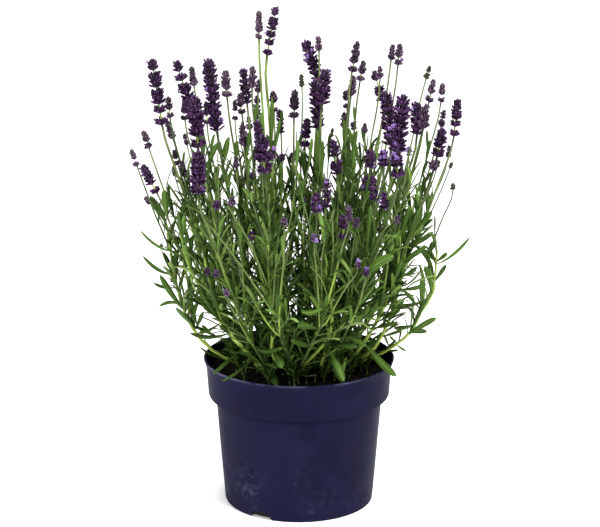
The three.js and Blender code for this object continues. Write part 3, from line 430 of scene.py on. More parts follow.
def room(head, placed):
    """Least room between a head with its stalk and those already placed."""
    if not placed:
        return math.inf
    feet_now, tips, radii, lines = (stack(placed, key) for key in ("foot", "tip", "radius", "line"))
    widths = np.array([stalk_radius(other, 0.8) for other in placed])

    def to_head(points):
        apart = distances(points.reshape(-1, 3), head["foot"][None], head["tip"][None])
        return apart.reshape(len(placed), -1).min(1)

    # A stalk is tested against heads from its fifth point up, and against stalks of other branches only
    gaps = [
        distances(head["line"][4:], feet_now, tips) - radii - stalk_radius(head, 0.8),
        distances(head["core"], feet_now, tips) - radii - head["radius"],
        to_head(lines[:, 4:]) - widths - head["radius"],
        to_head(stack(placed, "core")) - radii - head["radius"],
    ]
    other = stack(placed, "branch") != head["branch"]
    if other.any():
        starts, ends = lines[other, :-1].reshape(-1, 3), lines[other, 1:].reshape(-1, 3)
        between = distances(head["line"], starts, ends).min(0).reshape(other.sum(), -1).min(1)
        halves = np.array([stalk_radius(one, 0.5) for one, far in zip(placed, other) if far])
        gaps.append(between - halves - stalk_radius(head, 0.5))
    return min(gap.min() for gap in gaps) - CLEARANCE


def shoot_room(head):
    """Room between a head with its stalk and the leafy shoots."""
    least = math.inf
    for shoot in shoots:
        line = np.vstack([shoot["line"], at_height(shoot["line"], head["foot"][2])])
        near = distances(line, head["foot"][None], head["tip"][None]).min()
        least = min(least, near - head["radius"] - 2 - CLEARANCE)
        if shoot["branch"] != head["branch"]:
            near = distances(head["line"], shoot["line"][:-1], shoot["line"][1:]).min()
            least = min(least, near - 3 - CLEARANCE)
    return least


# %% Place the heads
MOST_SHIFTS, SHIFT = 41, 4
heads = []
for index, row in enumerate(HEADS):
    best = None
    for attempt in range(MOST_SHIFTS):
        side = 1 if attempt % 2 else -1
        head = head_at(row, index, row[7] + side * math.ceil(attempt / 2) * SHIFT)
        head["free"] = min(shoot_room(head), room(head, heads))
        if best is None or head["free"] > best["free"]:
            best = head
        if head["free"] >= 0:
            break
    best["node"] = f"flower_head_{index + 1:03d}"
    best["own"] = best["node"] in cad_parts
    heads.append(best)
own_heads = [head for head in heads if head["own"]]
least = min(head["free"] for head in heads)
print("heads with a solid of their own:", len(own_heads), "least room:", round(least, 2))

# %% Check the places against the solids
worst = 0
for head in own_heads:
    low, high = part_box(head["node"])
    middle = (np.array(low) + np.array(high)) * 500
    worst = max(worst, float(np.linalg.norm(middle - (head["foot"] + head["tip"]) / 2)))
print("largest distance from a head's solid, mm:", round(worst, 2))

# %% [markdown]
# ## Leaves that the solids have
# A lavender leaf is a narrow blade that leaves the stem upwards and bends outwards. Its centre line
# is a curve of three points. Some leaves are read from the photograph's outline, and a rule gives
# the rest in pairs up each shoot. A leaf that would touch something is turned, shortened or left out.

# %% Leaf numbers
# Foot and tip in pixels, width and bow in pixels, and by how many millimetres the tip is nearer.
OUTER_LEAVES = [
    (176, 252, 140, 230, 3.4, -7, 0),
    (171, 276, 143, 256, 4.5, -5, 5),
    (181, 308, 160, 275, 7, -2, 5),
    (179, 307, 159, 306, 4.5, 4, 5),
    (171, 218, 164, 190, 8, 0, 5),
    (164, 218, 150, 196, 6, 0, 0),
    (222, 340, 190, 333, 5, -4, 5),
    (254, 350, 281, 347, 5, -3, 25),
    (266, 364, 277, 386, 7, 2, 22),
    (240, 366, 222, 381, 3.6, -3, 12),
    (228, 363, 213, 374, 5, 0, 10),
    (278, 348, 282, 368, 8, 2, 25),
    (219, 322, 197, 287, 6, 0, 5),
    (223, 320, 210, 286, 6, 0, 10),
    (234, 318, 255, 291, 6, -2, 8),
    (438, 265, 470, 237, 3.8, -4, 0),
    (400, 327, 436, 318, 7, 1, 5),
    (412, 334, 427, 331, 6, 1, 5),
    (436, 281, 446, 265, 5, 0, 0),
    (406, 277, 417, 267, 5, -1, 0),
    (419, 250, 433, 232, 6, 0, 0),
    (423, 222, 432, 211, 5, 0, 0),
    (419, 226, 420, 201, 7, 0, 0),
    (352, 284, 394, 256, 9, 5, 20),
    (328, 347, 342, 382, 8, 2, 25),
    (374, 347, 396, 376, 7, -2, 15),
    (349, 322, 369, 306, 6, -3, 15),
    (328, 346, 357, 347, 6, 2, 20),
    (321, 330, 298, 326, 7, 2, 20),
    (422, 297, 391, 305, 5, -3, 5),
    (433, 292, 425, 266, 6, 0, 5),
    (438, 263, 447, 253, 5, 0, 3),
    (435, 262, 423, 249, 4.5, 0, 3),
    (421, 312, 403, 289, 4, 0, 5),
    (420, 311, 421, 280, 4.5, 0, 8),
    (414, 326, 394, 328, 5.5, -1, 5),
    (398, 344, 406, 351, 2.8, 0, 3),
    (184, 311, 194, 283, 8, 0, 6),
    (196, 328, 203, 312, 5, 0, 5),
    (230, 363, 200, 347, 3, -3, 6),
    (196, 325, 190, 298, 5, 0, 3),
    (177, 228, 186, 196, 6, 0, 3),
    (184, 240, 178, 212, 5, 0, 3),
    (208, 166, 217, 143, 6, 0, 5),
    (221, 166, 228, 138, 6, 0, 5),
    (305, 183, 303, 152, 7, 0, 5),
    (284, 200, 281, 163, 6, 0, 0),
    (294, 200, 292, 165, 5, 0, 3),
    (350, 185, 345, 150, 8, 0, 5),
    (358, 170, 352, 133, 5, 0, 3),
    (217, 327, 198, 333, 4, -2, 4),
    (401, 290, 415, 300, 3.5, 2, 3),
    (405, 289, 422, 268, 2.2, -5, 3),
]

# The rule's leaves: their spacing up a shoot, first height, length and half width, and the share kept
LEAF = {"spacing": 18, "first_height": 131, "length": 40, "half_width": 2.6, "kept": 0.18}
LEAF_RISE = np.array([0.0, 0.0, 0.45])
LEAF_TURNS = [0, 40, -40, 80, -80, 120, -120, 180]
OUTER_TRIES, OUTER_SHIFTS = 40, (0, 8, -8, 16, -16, 24)
TOWARDS_VIEWER = (0, -0.8, 0.6)

# The bush's own outline in the view: a row of pixels, and where its leaves end on the left and right
FOLIAGE_EDGE = np.array([
    (130, 215, 405),
    (160, 168, 430),
    (200, 158, 434),
    (250, 160, 440),
    (285, 164, 440),
    (310, 176, 430),
    (330, 192, 416),
    (350, 200, 398),
    (368, 214, 390),
    (388, 240, 350),
])
RIM_RADIUS, POT_HEIGHT = 85, 133
SOIL_EDGE, SOIL_MOUND, SOIL_BUMP = 119, 3, 1.1

# %% Looks of the leaves that are read from the photograph
# A leaf is in front if its tip is this much nearer, and low down if its foot shows below this row.
FRONT_LEAF, LOW_ROW = 15, 355
# The darkest and lightest tints of a leaf in front, of one low down and of one at the outline:
# the lighter range in front is painted light, and the darker range low down painted shade.
LIT_FRONT_TINTS, SHADED_LOW_TINTS, OUTER_TINTS = (0.3, 0.6), (0, 0.2), (0, 0.45)
# How much of a leaf's width its finer blade has, and how much in front
BLADE_SHARE, FRONT_BLADE_SHARE = 0.88, 1.1


# %% A leaf's centre line, and where it may show
def curve(leaf, t):
    """Points of a leaf's centre line, t from 0 at the stem to 1 at the tip."""
    t = np.asarray(t, float)[..., None]
    return leaf["base"] * (1 - t) ** 2 + leaf["middle"] * 2 * t * (1 - t) + leaf["tip"] * t**2


def clear_of_pot(points):
    """Whether points are above the rim, or inside it above the soil."""
    beyond = np.hypot(points[:, 0], points[:, 1]) > RIM_RADIUS - 8
    return points[:, 2] > np.where(beyond, POT_HEIGHT + 1.5, SOIL_EDGE + SOIL_MOUND + SOIL_BUMP + 2)


def in_outline(points):
    """Whether points show inside the bush's own outline."""
    x, y = pixel(points).T
    rows, lefts, rights = FOLIAGE_EDGE.T
    inside = (x > np.interp(y, rows, lefts)) & (x < np.interp(y, rows, rights))
    return inside & (y >= rows[0]) & (y < rows[-1])


# %% Everything that a leaf keeps clear of
head_feet, head_tips, head_radii = (stack(heads, key) for key in ("foot", "tip", "radius"))
obstacles = {"start": [], "end": [], "branch": [], "room": []}


def add_obstacle(line, branch, width):
    obstacles["start"].extend(line[:-1])
    obstacles["end"].extend(line[1:])
    obstacles["branch"].extend([branch] * (len(line) - 1))
    obstacles["room"].extend([width] * (len(line) - 1))


for head in heads:
    add_obstacle(head["line"], head["branch"], 1.3)
for shoot in shoots:
    add_obstacle(shoot["line"], shoot["branch"], 2)


def leaf_is_clear(leaf):
    """Whether a leaf touches nothing but its own stem at its foot. Its line is kept with it."""
    line = curve(leaf, np.arange(9) / 8)
    leaf["line"] = line
    need = leaf["half_width"] + CLEARANCE
    if not clear_of_pot(line[1:]).all():
        return False
    if (distances(line[1:], head_feet, head_tips) < head_radii + need).any():
        return False
    near = distances(line[1:], np.array(obstacles["start"]), np.array(obstacles["end"]))
    near = near < need + np.array(obstacles["room"])
    other = np.array(obstacles["branch"]) != leaf["branch"]
    return not (near[:, other].any() or near[3:].any())


# %% Two ways to draw a leaf
def drawn_leaf(base, tip, width, bow, branch):
    """A leaf between two points that faces the view, with its width and its bow in pixels."""
    leaf = {"base": base, "tip": tip, "branch": branch, "half_width": width / 2 * MM_PER_PIXEL}
    leaf["middle"] = (base + tip) / 2 + np.array([0, 0, bow * MM_PER_PIXEL * 2])
    leaf["across"] = unit(np.cross(tip - base, TOWARDS_VIEWER))
    return leaf


def arched_leaf(base, way, out, length, half_width, opening, falling, branch):
    """A leaf that leaves a stem along its way, opening first and then falling outwards."""
    leaf = {"base": base, "branch": branch, "half_width": half_width, "across": unit(np.cross(way, out))}
    leaf["middle"] = base + length * 0.55 * (way * math.cos(opening) + out * math.sin(opening))
    leaf["tip"] = base + length * (way * math.cos(falling) + out * math.sin(falling))
    return leaf


def leaf_way(line, height, step):
    """The way that a leaf starts in: along its stem, and a little more upwards."""
    return unit(unit(at_height(line, height + step) - at_height(line, height - step)) + LEAF_RISE)


# %% The leaf of one row, and the leaf of the rule
STEM_STEPS = 40
starts, start_branches = [], []
for stem in [*heads, *shoots]:
    low, high = stem["knots"][0][2], stem["knots"][-1][2]
    starts += [at_height(stem["knots"], low + ((high - low) * i) / STEM_STEPS) for i in range(1, STEM_STEPS)]
    start_branches += [stem["branch"]] * (STEM_STEPS - 1)
starts = np.array(starts)
start_pixels = pixel(starts)


def outer_leaf(row):
    """The leaf of a row, from the place on a stem nearest to its foot that leaves it room."""
    base_x, base_y, tip_x, tip_y, width, bow, nearer = row
    away = np.hypot(*(start_pixels - (base_x, base_y)).T) + starts[:, 1] * 0.03
    for i in np.argsort(away, kind="stable")[:OUTER_TRIES]:
        for shift in OUTER_SHIFTS:
            tip = place(tip_x, tip_y, starts[i][1] - nearer - shift)
            leaf = drawn_leaf(starts[i], tip, width, bow, start_branches[i])
            if leaf_is_clear(leaf):
                if nearer >= FRONT_LEAF:
                    return leaf | {"tints": LIT_FRONT_TINTS, "share": FRONT_BLADE_SHARE}
                return leaf | {"tints": SHADED_LOW_TINTS if base_y > LOW_ROW else OUTER_TINTS}
    return None


def rule_leaf(shoot, node, side):
    """A leaf of a shoot's pair, turned and shortened until it is clear, or left out."""

    def pick(channel):
        return chance(shoot["index"] + 1, node * 2 + side, channel)

    height = LEAF["first_height"] + LEAF["spacing"] * (node + 0.5 * chance(shoot["index"], 3, 7))
    if height > shoot["top"] - 2:
        return None
    base, way = at_height(shoot["line"], height), leaf_way(shoot["line"], height, 3)
    half_width = LEAF["half_width"] * (0.85 + 0.3 * pick(15))
    half_width *= 1 - 0.2 * clamp((height - LEAF["first_height"]) / 120)
    first = 360 * chance(shoot["index"], 5, 3) + 90 * node + 180 * side + 40 * (pick(12) - 0.5)
    opening, falling = math.radians(14 + 14 * pick(13)), math.radians(26 + 28 * pick(14))
    for share in (1, 0.75):
        reach = LEAF["length"] * (0.75 + 0.45 * pick(11)) * share
        for turn in LEAF_TURNS:
            angle = math.radians(first + turn)
            out = np.array([math.cos(angle), math.sin(angle), 0])
            leaf = arched_leaf(base, way, out, reach, half_width, opening, falling, shoot["branch"])
            if in_outline(leaf["tip"]).all() and leaf_is_clear(leaf):
                return leaf
    return None


# %% Grow them
leaves = []


def keep_leaf(leaf):
    if leaf is not None:
        leaves.append(leaf)
        add_obstacle(leaf["line"], leaf["branch"], leaf["half_width"])


for row in OUTER_LEAVES:
    keep_leaf(outer_leaf(row))
for node in range(9):
    for shoot in shoots:
        for side in (0, 1):
            if chance(shoot["index"], node, 40 + side) <= LEAF["kept"]:
                keep_leaf(rule_leaf(shoot, node, side))
print("leaves of the solids:", len(leaves))

# %% [markdown]
# ## Finishes
# Plants and moulded plastic are never one flat colour. Each finish below mixes a few close colours
# by noise, and on leaves and florets also by a value that is stored on each copy, so that no two
# copies look the same. That value is an attribute named grain: across the blade, along it, and a tint.
# On leaves and stems the tint also carries painted shade deep and low in the bush.

# %% Helpers for materials
class Finish:
    """A material, with short words for the nodes that mix its colour."""

    def __init__(self, name, roughness):
        self.material = bpy.data.materials.new(name)
        self.material.use_nodes = True
        self.nodes, self.links = self.material.node_tree.nodes, self.material.node_tree.links
        self.shader = self.nodes["Principled BSDF"].inputs
        self.shader["Roughness"].default_value = roughness

    def feed(self, socket, value):
        """Links a socket to another, or sets its colour or number."""
        if isinstance(value, bpy.types.NodeSocket):
            self.links.new(value, socket)
        else:
            socket.default_value = (*value, 1) if isinstance(value, tuple) else value

    def add(self, kind, inputs, **settings):
        node = self.nodes.new("ShaderNode" + kind)
        for name, value in settings.items():
            setattr(node, name, value)
        for key, value in inputs.items():
            self.feed(node.inputs[key], value)
        return node

    def where(self):
        return self.add("TexCoord", {}).outputs["Object"]

    def split(self, vector):
        return self.add("SeparateXYZ", {0: vector}).outputs[:]

    def grain(self):
        return self.split(self.add("Attribute", {}, attribute_name="grain").outputs["Vector"])

    def noise(self, where, scale, detail=3.0):
        return self.add("TexNoise", {"Vector": where, "Scale": scale, "Detail": detail}).outputs["Fac"]

    def ramp(self, value, stops):
        ramp = self.add("ValToRGB", {0: value})
        elements = ramp.color_ramp.elements
        while len(elements) < len(stops):
            elements.new(0.5)
        for element, (position, colour) in zip(elements, stops):
            element.position = position
            element.color = (*colour, 1)
        return ramp.outputs[0]

    def mix(self, factor, first, second, kind="MIX"):
        """Mixes two colours; each may be a socket or three numbers, and the factor a socket or a number."""
        return self.add("Mix", {0: factor, 6: first, 7: second}, data_type="RGBA", blend_type=kind).outputs[2]

    def times(self, value, *factors):
        for factor in factors:
            value = self.add("Math", {0: value, 1: factor}, operation="MULTIPLY").outputs[0]
        return value

    def rescale(self, value, low, high, to_low=0.0, to_high=1.0):
        ends = {"From Min": low, "From Max": high, "To Min": to_low, "To Max": to_high}
        return self.add("MapRange", {"Value": value, **ends}).outputs["Result"]

    def bump(self, height, strength, distance):
        bump = self.add("Bump", {"Strength": strength, "Distance": distance, "Height": height})
        self.feed(self.shader["Normal"], bump.outputs["Normal"])

    def done(self, colour, specular=None):
        """Gives the shader its colour, and returns the material."""
        self.feed(self.shader["Base Color"], colour)
        if specular is not None:
            self.shader["Specular IOR Level"].default_value = specular
        return self.material


# %% Pot plastic
# Dark indigo with little shine, clouded and blotched, with painted shade in the crease under the collar,
# a painted highlight along the lip, and with lime dust that has dried low down where water splashes.
def pot_finish():
    pot = Finish("pot_plastic", 0.4)
    where = pot.where()
    sideways, _, height = pot.split(where)
    cloud = pot.noise(where, 22, 4)
    colour = pot.ramp(cloud, [(0.3, (0.009, 0.009, 0.028)), (0.7, (0.0122, 0.012, 0.037))])
    smudge = pot.rescale(pot.noise(where, 34, 5), 0.52, 0.72)
    blot = pot.rescale(pot.noise(where, 17, 6), 0.54, 0.6)
    # A thin band just under the collar is darkened: painted shade.
    painted_crease_shade = pot.times(pot.rescale(height, 0.0925, 0.0968), pot.rescale(height, 0.0995, 0.0984))
    specks = pot.rescale(pot.noise(where, 190, 7), 0.47, 0.76)
    patches = pot.rescale(pot.noise(where, 30, 4), 0.46, 0.7)
    low, more_left = pot.rescale(height, 0.062, 0.004), pot.rescale(sideways, 0.03, -0.03, 0.25, 1.0)
    dust = pot.times(specks, patches, low, more_left)
    # A thin ring at the lip's outer edge is lightened where the noise allows: a painted highlight.
    painted_lip_highlight = pot.times(pot.rescale(height, 0.1308, 0.1322), pot.rescale(cloud, 0.42, 0.6))
    # Where each layer lies, how strong it is, and its colour
    layers = [
        (smudge, 0.45, (0.014, 0.014, 0.028)),
        (blot, 0.55, (0.007, 0.007, 0.022)),
        (painted_crease_shade, 0.75, (0.005, 0.005, 0.015)),
        (dust, 0.6, (0.12, 0.13, 0.2)),
        (painted_lip_highlight, 0.8, (0.12, 0.12, 0.2)),
    ]
    for mask, strength, tone in layers:
        colour = pot.mix(pot.times(mask, strength), colour, tone)
    pot.feed(pot.shader["Roughness"], pot.rescale(smudge, 0, 1, 0.42, 0.56))
    pot.bump(pot.noise(where, 900, 2), 0.08, 0.0004)
    return pot.done(colour, specular=0.008)


# %% Soil
PEAT_COLOURS = [(0.3, (0.002, 0.0015, 0.001)), (0.55, (0.008, 0.005, 0.003)), (0.78, (0.04, 0.024, 0.014))]


def soil_finish():
    soil = Finish("potting_soil", 1.0)
    where = soil.where()
    peat = soil.ramp(soil.noise(where, 420, 6), PEAT_COLOURS)
    soil.bump(soil.noise(where, 700, 5), 0.7, 0.0012)
    return soil.done(peat, specular=0.25)


# %% Leaf
# The blade is mid green with a paler midrib, yellower at its foot, and each leaf has its own tint,
# partly a tone that differs at random and partly painted shade.
# The midrib and the foot show less on a dark leaf.
LEAF_COLOURS = [
    (0.0, (0.02, 0.042, 0.007)),
    (0.35, (0.046, 0.098, 0.013)),
    (0.7, (0.115, 0.21, 0.035)),
    (1.0, (0.3, 0.42, 0.13)),
]


def leaf_finish():
    leaf = Finish("leaf", 0.52)
    across, along, tint = leaf.grain()
    cloud = leaf.noise(leaf.where(), 160, 3)
    colour = leaf.mix(0.35, leaf.ramp(tint, LEAF_COLOURS), cloud, "OVERLAY")
    fresh = leaf.rescale(tint, 0.0, 0.6, 0.3, 1.0)
    foot = leaf.times(leaf.rescale(along, 0.3, 0.0, 0.0, 0.45), fresh)
    colour = leaf.mix(foot, colour, (0.16, 0.26, 0.05))
    off_middle = leaf.add("Math", {0: across}, operation="ABSOLUTE").outputs[0]
    rib = leaf.times(leaf.rescale(off_middle, 0.22, 0.05, 0.0, 0.4), fresh)
    colour = leaf.mix(rib, colour, (0.2, 0.34, 0.1))
    leaf.bump(leaf.noise(leaf.where(), 1500, 2), 0.2, 0.0003)
    return leaf.done(colour, specular=0.1)


# %% Stem
# Dull olive at the woody foot, yellow green above it and deeper green higher up, with streaks, and
# darker by its own tint, partly a tone that differs at random and partly painted shade inside the bush.
STEM_COLOURS = [
    (0.0, (0.12, 0.12, 0.03)),
    (0.1, (0.4, 0.52, 0.1)),
    (0.4, (0.28, 0.42, 0.07)),
    (0.7, (0.15, 0.21, 0.06)),
    (1.0, (0.13, 0.17, 0.06)),
]


def stem_finish():
    stem = Finish("stem", 0.55)
    _, along, tint = stem.grain()
    streak = stem.noise(stem.where(), 240, 3)
    colour = stem.mix(0.3, stem.ramp(along, STEM_COLOURS), streak, "OVERLAY")
    colour = stem.mix(stem.rescale(tint, 0.3, 1.0, 0.0, 0.85), colour, (0.045, 0.075, 0.025))
    stem.bump(streak, 0.2, 0.0004)
    return stem.done(colour, specular=0.15)


# %% Calyces and corollas
# A calyx is downy and greenish grey at its foot, violet towards its mouth. Those near the tip of a
# head are younger and greener.
def calyx_finish(name, foot_colour, dark, light, unripe):
    calyx = Finish(name, 0.75)
    up_the_head, along, tint = calyx.grain()
    down = calyx.noise(calyx.where(), 900, 2)
    colour = calyx.mix(0.4, calyx.mix(tint, dark, light), down, "OVERLAY")
    colour = calyx.mix(calyx.rescale(up_the_head, 0.45, 1.0, 0.0, unripe), colour, (0.1, 0.12, 0.06))
    colour = calyx.mix(calyx.rescale(along, 0.45, 0.0, 0.0, 0.75), colour, foot_colour)
    calyx.shader["Sheen Weight"].default_value = 0.03
    calyx.shader["Sheen Roughness"].default_value = 0.5
    calyx.bump(down, 0.4, 0.0003)
    return calyx.done(colour, specular=0.08)


def corolla_finish():
    corolla = Finish("corolla", 0.6)
    _, along, tint = corolla.grain()
    petal = corolla.mix(tint, (0.14, 0.05, 0.3), (0.32, 0.18, 0.52))
    corolla.shader["Sheen Weight"].default_value = 0.2
    return corolla.done(corolla.mix(corolla.rescale(along, 0.5, 0.1, 0.0, 0.8), petal, (0.03, 0.01, 0.09)))


POT, SOIL, LEAFY, STEMMY = pot_finish(), soil_finish(), leaf_finish(), stem_finish()
COROLLA = corolla_finish()
# The colours of a calyx: its foot, its darkest and lightest tints, and how green the tip of the head is
CALYX_COLOURS = {
    "bloom": ((0.035, 0.035, 0.03), (0.022, 0.007, 0.03), (0.125, 0.044, 0.16), 0.1),
    "mauve": ((0.08, 0.09, 0.05), (0.04, 0.02, 0.05), (0.21, 0.125, 0.21), 0.35),
    "dusk": ((0.06, 0.065, 0.04), (0.026, 0.013, 0.032), (0.12, 0.07, 0.13), 0.25),
    "green": ((0.08, 0.12, 0.04), (0.06, 0.07, 0.04), (0.14, 0.14, 0.09), 0.6),
}
CALYX = {tone: calyx_finish(f"calyx_{tone}", *colours) for tone, colours in CALYX_COLOURS.items()}
print("finishes:", len(bpy.data.materials))

# %% [markdown]
# ## The pot
# Such a pot is injection moulded: one wall of the same thickness all round, with a collar that steps
# out near the top, so that pots nest without jamming, and a thin flared lip. One outline turned a
# full circle gives exactly that. The slots and drain holes are cut out of the turned wall.

# %% The pot's outline, radius and height in millimetres
POT_OUTLINE = [
    (0, 0),
    (65.2, 0),
    (66.3, 0.5),
    (66.7, 1.6),
    (74.3, 97.2),
    (74.8, 98.2),
    (75.9, 98.5),
    (79.2, 98.7),
    (80.5, 99.1),
    (81.0, 100.4),
    (82.6, 124.6),
    (83.1, 125.9),
    (84.5, 131.0),
    (84.9, 131.8),
    (85.0, 132.4),
    (84.6, 132.9),
    (84.0, 133),
    (83.4, 132.7),
    (83.0, 131.2),
    (81.3, 124.6),
    (79.8, 102.0),
    (79.2, 100.8),
    (77.6, 100.2),
    (73.8, 99.8),
    (72.9, 98.4),
    (65.3, 1.6),
    (0, 1.6),
]
NOTCH_WIDTH, NOTCH_TOP_WIDTH, NOTCH_HEIGHT, NOTCH_ANGLE, NOTCHES = 22, 13, 6.5, -120.5, 3
DRAIN_RADIUS, DRAIN_CIRCLE, DRAINS = 5, 38, 6


def finish_object(name, mesh, materials):
    """Links a finished mesh as a piece that rides on the plant's one body."""
    piece = add_object(name, mesh)
    for material in materials:
        mesh.materials.append(material)
    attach(piece, "root")
    return piece


def turned(outline, steps):
    """A closed body of revolution about the Z axis, from an outline that starts and ends on the axis."""
    shape = bmesh.new()
    verts = [shape.verts.new((r / 1000, 0, z / 1000)) for r, z in outline]
    edges = [shape.edges.new(pair) for pair in zip(verts, verts[1:])]
    around_z = {"cent": (0, 0, 0), "axis": (0, 0, 1), "angle": 2 * math.pi}
    bmesh.ops.spin(shape, geom=verts + edges, steps=steps, use_merge=True, **around_z)
    bmesh.ops.remove_doubles(shape, verts=shape.verts, dist=1e-6)
    bmesh.ops.recalc_face_normals(shape, faces=shape.faces)
    return shape


def to_mesh(shape, name, smooth=True):
    mesh = bpy.data.meshes.new(name)
    shape.to_mesh(mesh)
    shape.free()
    if smooth:
        mesh.shade_smooth()
    return mesh


# %% Shapes that cut the drain slots and holes
def pot_cutters():
    """Three slots with rounded tops through the foot of the wall, and six holes in the floor."""
    cutters = bmesh.new()
    size = Matrix.Diagonal((0.016, NOTCH_TOP_WIDTH / 1000, NOTCH_HEIGHT / 500, 1))
    for i in range(NOTCHES):
        others = set(cutters.verts)
        box = bmesh.ops.create_cube(cutters, size=1, matrix=Matrix.Translation((0.066, 0, 0)) @ size)["verts"]
        for v in box:
            if v.co.z < 0:
                v.co.y *= 2 * NOTCH_WIDTH / NOTCH_TOP_WIDTH - 1
        top = [e for e in cutters.edges if all(end in box and end.co.z > 0 for end in e.verts)]
        top = [e for e in top if abs(e.verts[0].co.x - e.verts[1].co.x) > 0.001]
        bmesh.ops.bevel(
            cutters, geom=top, offset=0.0015, segments=4, profile=0.5, affect="EDGES", material=-1
        )
        turn = Matrix.Rotation(math.radians(NOTCH_ANGLE + 360 / NOTCHES * i), 3, "Z")
        notch = [v for v in cutters.verts if v not in others]
        bmesh.ops.rotate(cutters, verts=notch, matrix=turn, cent=(0, 0, 0))
    far, radius = DRAIN_CIRCLE / 1000, DRAIN_RADIUS / 1000
    for i in range(DRAINS):
        angle = (i + 0.5) * 2 * math.pi / DRAINS
        spot = Matrix.Translation((far * math.cos(angle), far * math.sin(angle), 0))
        bmesh.ops.create_cone(
            cutters, cap_ends=True, segments=24, radius1=radius, radius2=radius, depth=0.02, matrix=spot
        )
    return to_mesh(cutters, "pot_cutters", smooth=False)


# %% Turn the wall and cut it
def cut(piece, cutter_mesh):
    """Cuts a closed mesh out of a piece and keeps only the result."""
    cutter = add_object("cutter", cutter_mesh)
    modifier = piece.modifiers.new("cut", "BOOLEAN")
    modifier.object = cutter
    modifier.operation = "DIFFERENCE"
    modifier.solver = "EXACT"
    graph = bpy.context.evaluated_depsgraph_get()
    result = bpy.data.meshes.new_from_object(piece.evaluated_get(graph))
    piece.modifiers.clear()
    old = piece.data
    piece.data = result
    bpy.data.meshes.remove(old)
    bpy.data.objects.remove(cutter)


pot = finish_object("pot_wall", to_mesh(turned(POT_OUTLINE, 128), "pot_wall"), [POT])
cut(pot, pot_cutters())
pot.data.set_sharp_from_angle(angle=math.radians(32))
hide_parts("pot")
print("pot faces:", len(pot.data.polygons))

# %% [markdown]
# ## The soil
# Peat soil is a crumbly mound a little below the rim. A disc of rings is pulled up and down by
# noise for its lumps, its side follows the pot's wall down to the floor, and loose crumbs lie on it.

# %% The mound
SOIL_RADIUS = 80.0
SOIL_SIDE = [(78.9, 103.2), (72.4, 99.6), (64.8, 2.1), (30, 2.1)]
SOIL_RINGS, CRUMBLE = 34, 1.1


def soil_height(x, y):
    share = math.hypot(x, y) / RIM_RADIUS
    lumps = math.sin(x * 0.31 + y * 0.17) + math.sin(y * 0.37 - x * 0.13 + 2) + math.sin((x + y) * 0.23)
    crumbly = noise.fractal(Vector((x, y, 0)) * 0.22, 1.0, 2.0, 4)
    return SOIL_EDGE + SOIL_MOUND * (1 - share * share) + SOIL_BUMP * 0.5 * lumps + CRUMBLE * crumbly


def next_ring(edges, radius, z=None):
    """Extrudes a closed ring of edges to another radius, and to a height or else to the soil's surface."""
    made = bmesh.ops.extrude_edge_only(mound, edges=edges)["geom"]
    for v in (item for item in made if isinstance(item, bmesh.types.BMVert)):
        way = v.co.xy.normalized() * radius / 1000
        v.co = (way.x, way.y, (soil_height(way.x * 1000, way.y * 1000) if z is None else z) / 1000)
    return [item for item in made if isinstance(item, bmesh.types.BMEdge)]


mound = bmesh.new()
for v in bmesh.ops.create_circle(mound, segments=96, radius=SOIL_RADIUS / 1000)["verts"]:
    v.co.z = soil_height(v.co.x * 1000, v.co.y * 1000) / 1000
inner = outer = mound.edges[:]
for radius in np.linspace(SOIL_RADIUS - 2.5, 1.5, SOIL_RINGS):
    inner = next_ring(inner, radius)
for radius, z in SOIL_SIDE:
    outer = next_ring(outer, radius, z)
bmesh.ops.holes_fill(mound, edges=mound.edges[:], sides=0)
bmesh.ops.recalc_face_normals(mound, faces=mound.faces)
soil = finish_object("soil_mound", to_mesh(mound, "soil_mound"), [SOIL])
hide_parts("soil")
print("soil faces:", len(soil.data.polygons))

# %% [markdown]
# ## Copies of small shapes
# The plant is thousands of leaves, florets and crumbs. Each kind is modelled once with few faces,
# then every copy is bent or turned into its own place, and the copies are joined as one mesh. The
# shape's own coordinates say where a point lies on the copy, and become its grain attribute.

# %% Join copies as one piece
class Shape:
    """A small model: its points and faces, for copies."""

    def __init__(self, mesh):
        mesh.verts.index_update()
        self.points = np.array([v.co[:] for v in mesh.verts])
        self.faces = [[v.index for v in face.verts] for face in mesh.faces]
        mesh.free()


def joined(name, batches, materials):
    """One piece of many copies. A batch is (shape, copies' points, copies' grain, material number)."""
    points, grain, faces, numbers, start = [], [], [], [], 0
    for shape, copies, grains, number in batches:
        for copy, its_grain in zip(copies, grains):
            points.append(copy)
            grain.append(its_grain)
            faces.extend([start + i for i in face] for face in shape.faces)
            start += len(copy)
        numbers.extend([number] * (len(shape.faces) * len(copies)))
    mesh = bpy.data.meshes.new(name)
    mesh.from_pydata((np.vstack(points) / 1000).tolist(), [], faces)
    mesh.attributes.new("grain", "FLOAT_VECTOR", "POINT").data.foreach_set("vector", np.vstack(grain).ravel())
    mesh.polygons.foreach_set("material_index", numbers)
    mesh.shade_smooth()
    return finish_object(name, mesh, materials)


def grain_of(shape, tint, across=0, along=1):
    """Across, along and tint for each point of a copy."""
    return np.stack([shape.points[:, across], shape.points[:, along], np.full(len(shape.points), tint)], 1)


# %% Crumbs on the soil
def crumb_shape(seed):
    lump = bmesh.new()
    bmesh.ops.create_icosphere(lump, subdivisions=1, radius=1)
    for v in lump.verts:
        v.co *= 0.75 + 0.5 * chance(v.index, seed, 1)
    return Shape(lump)


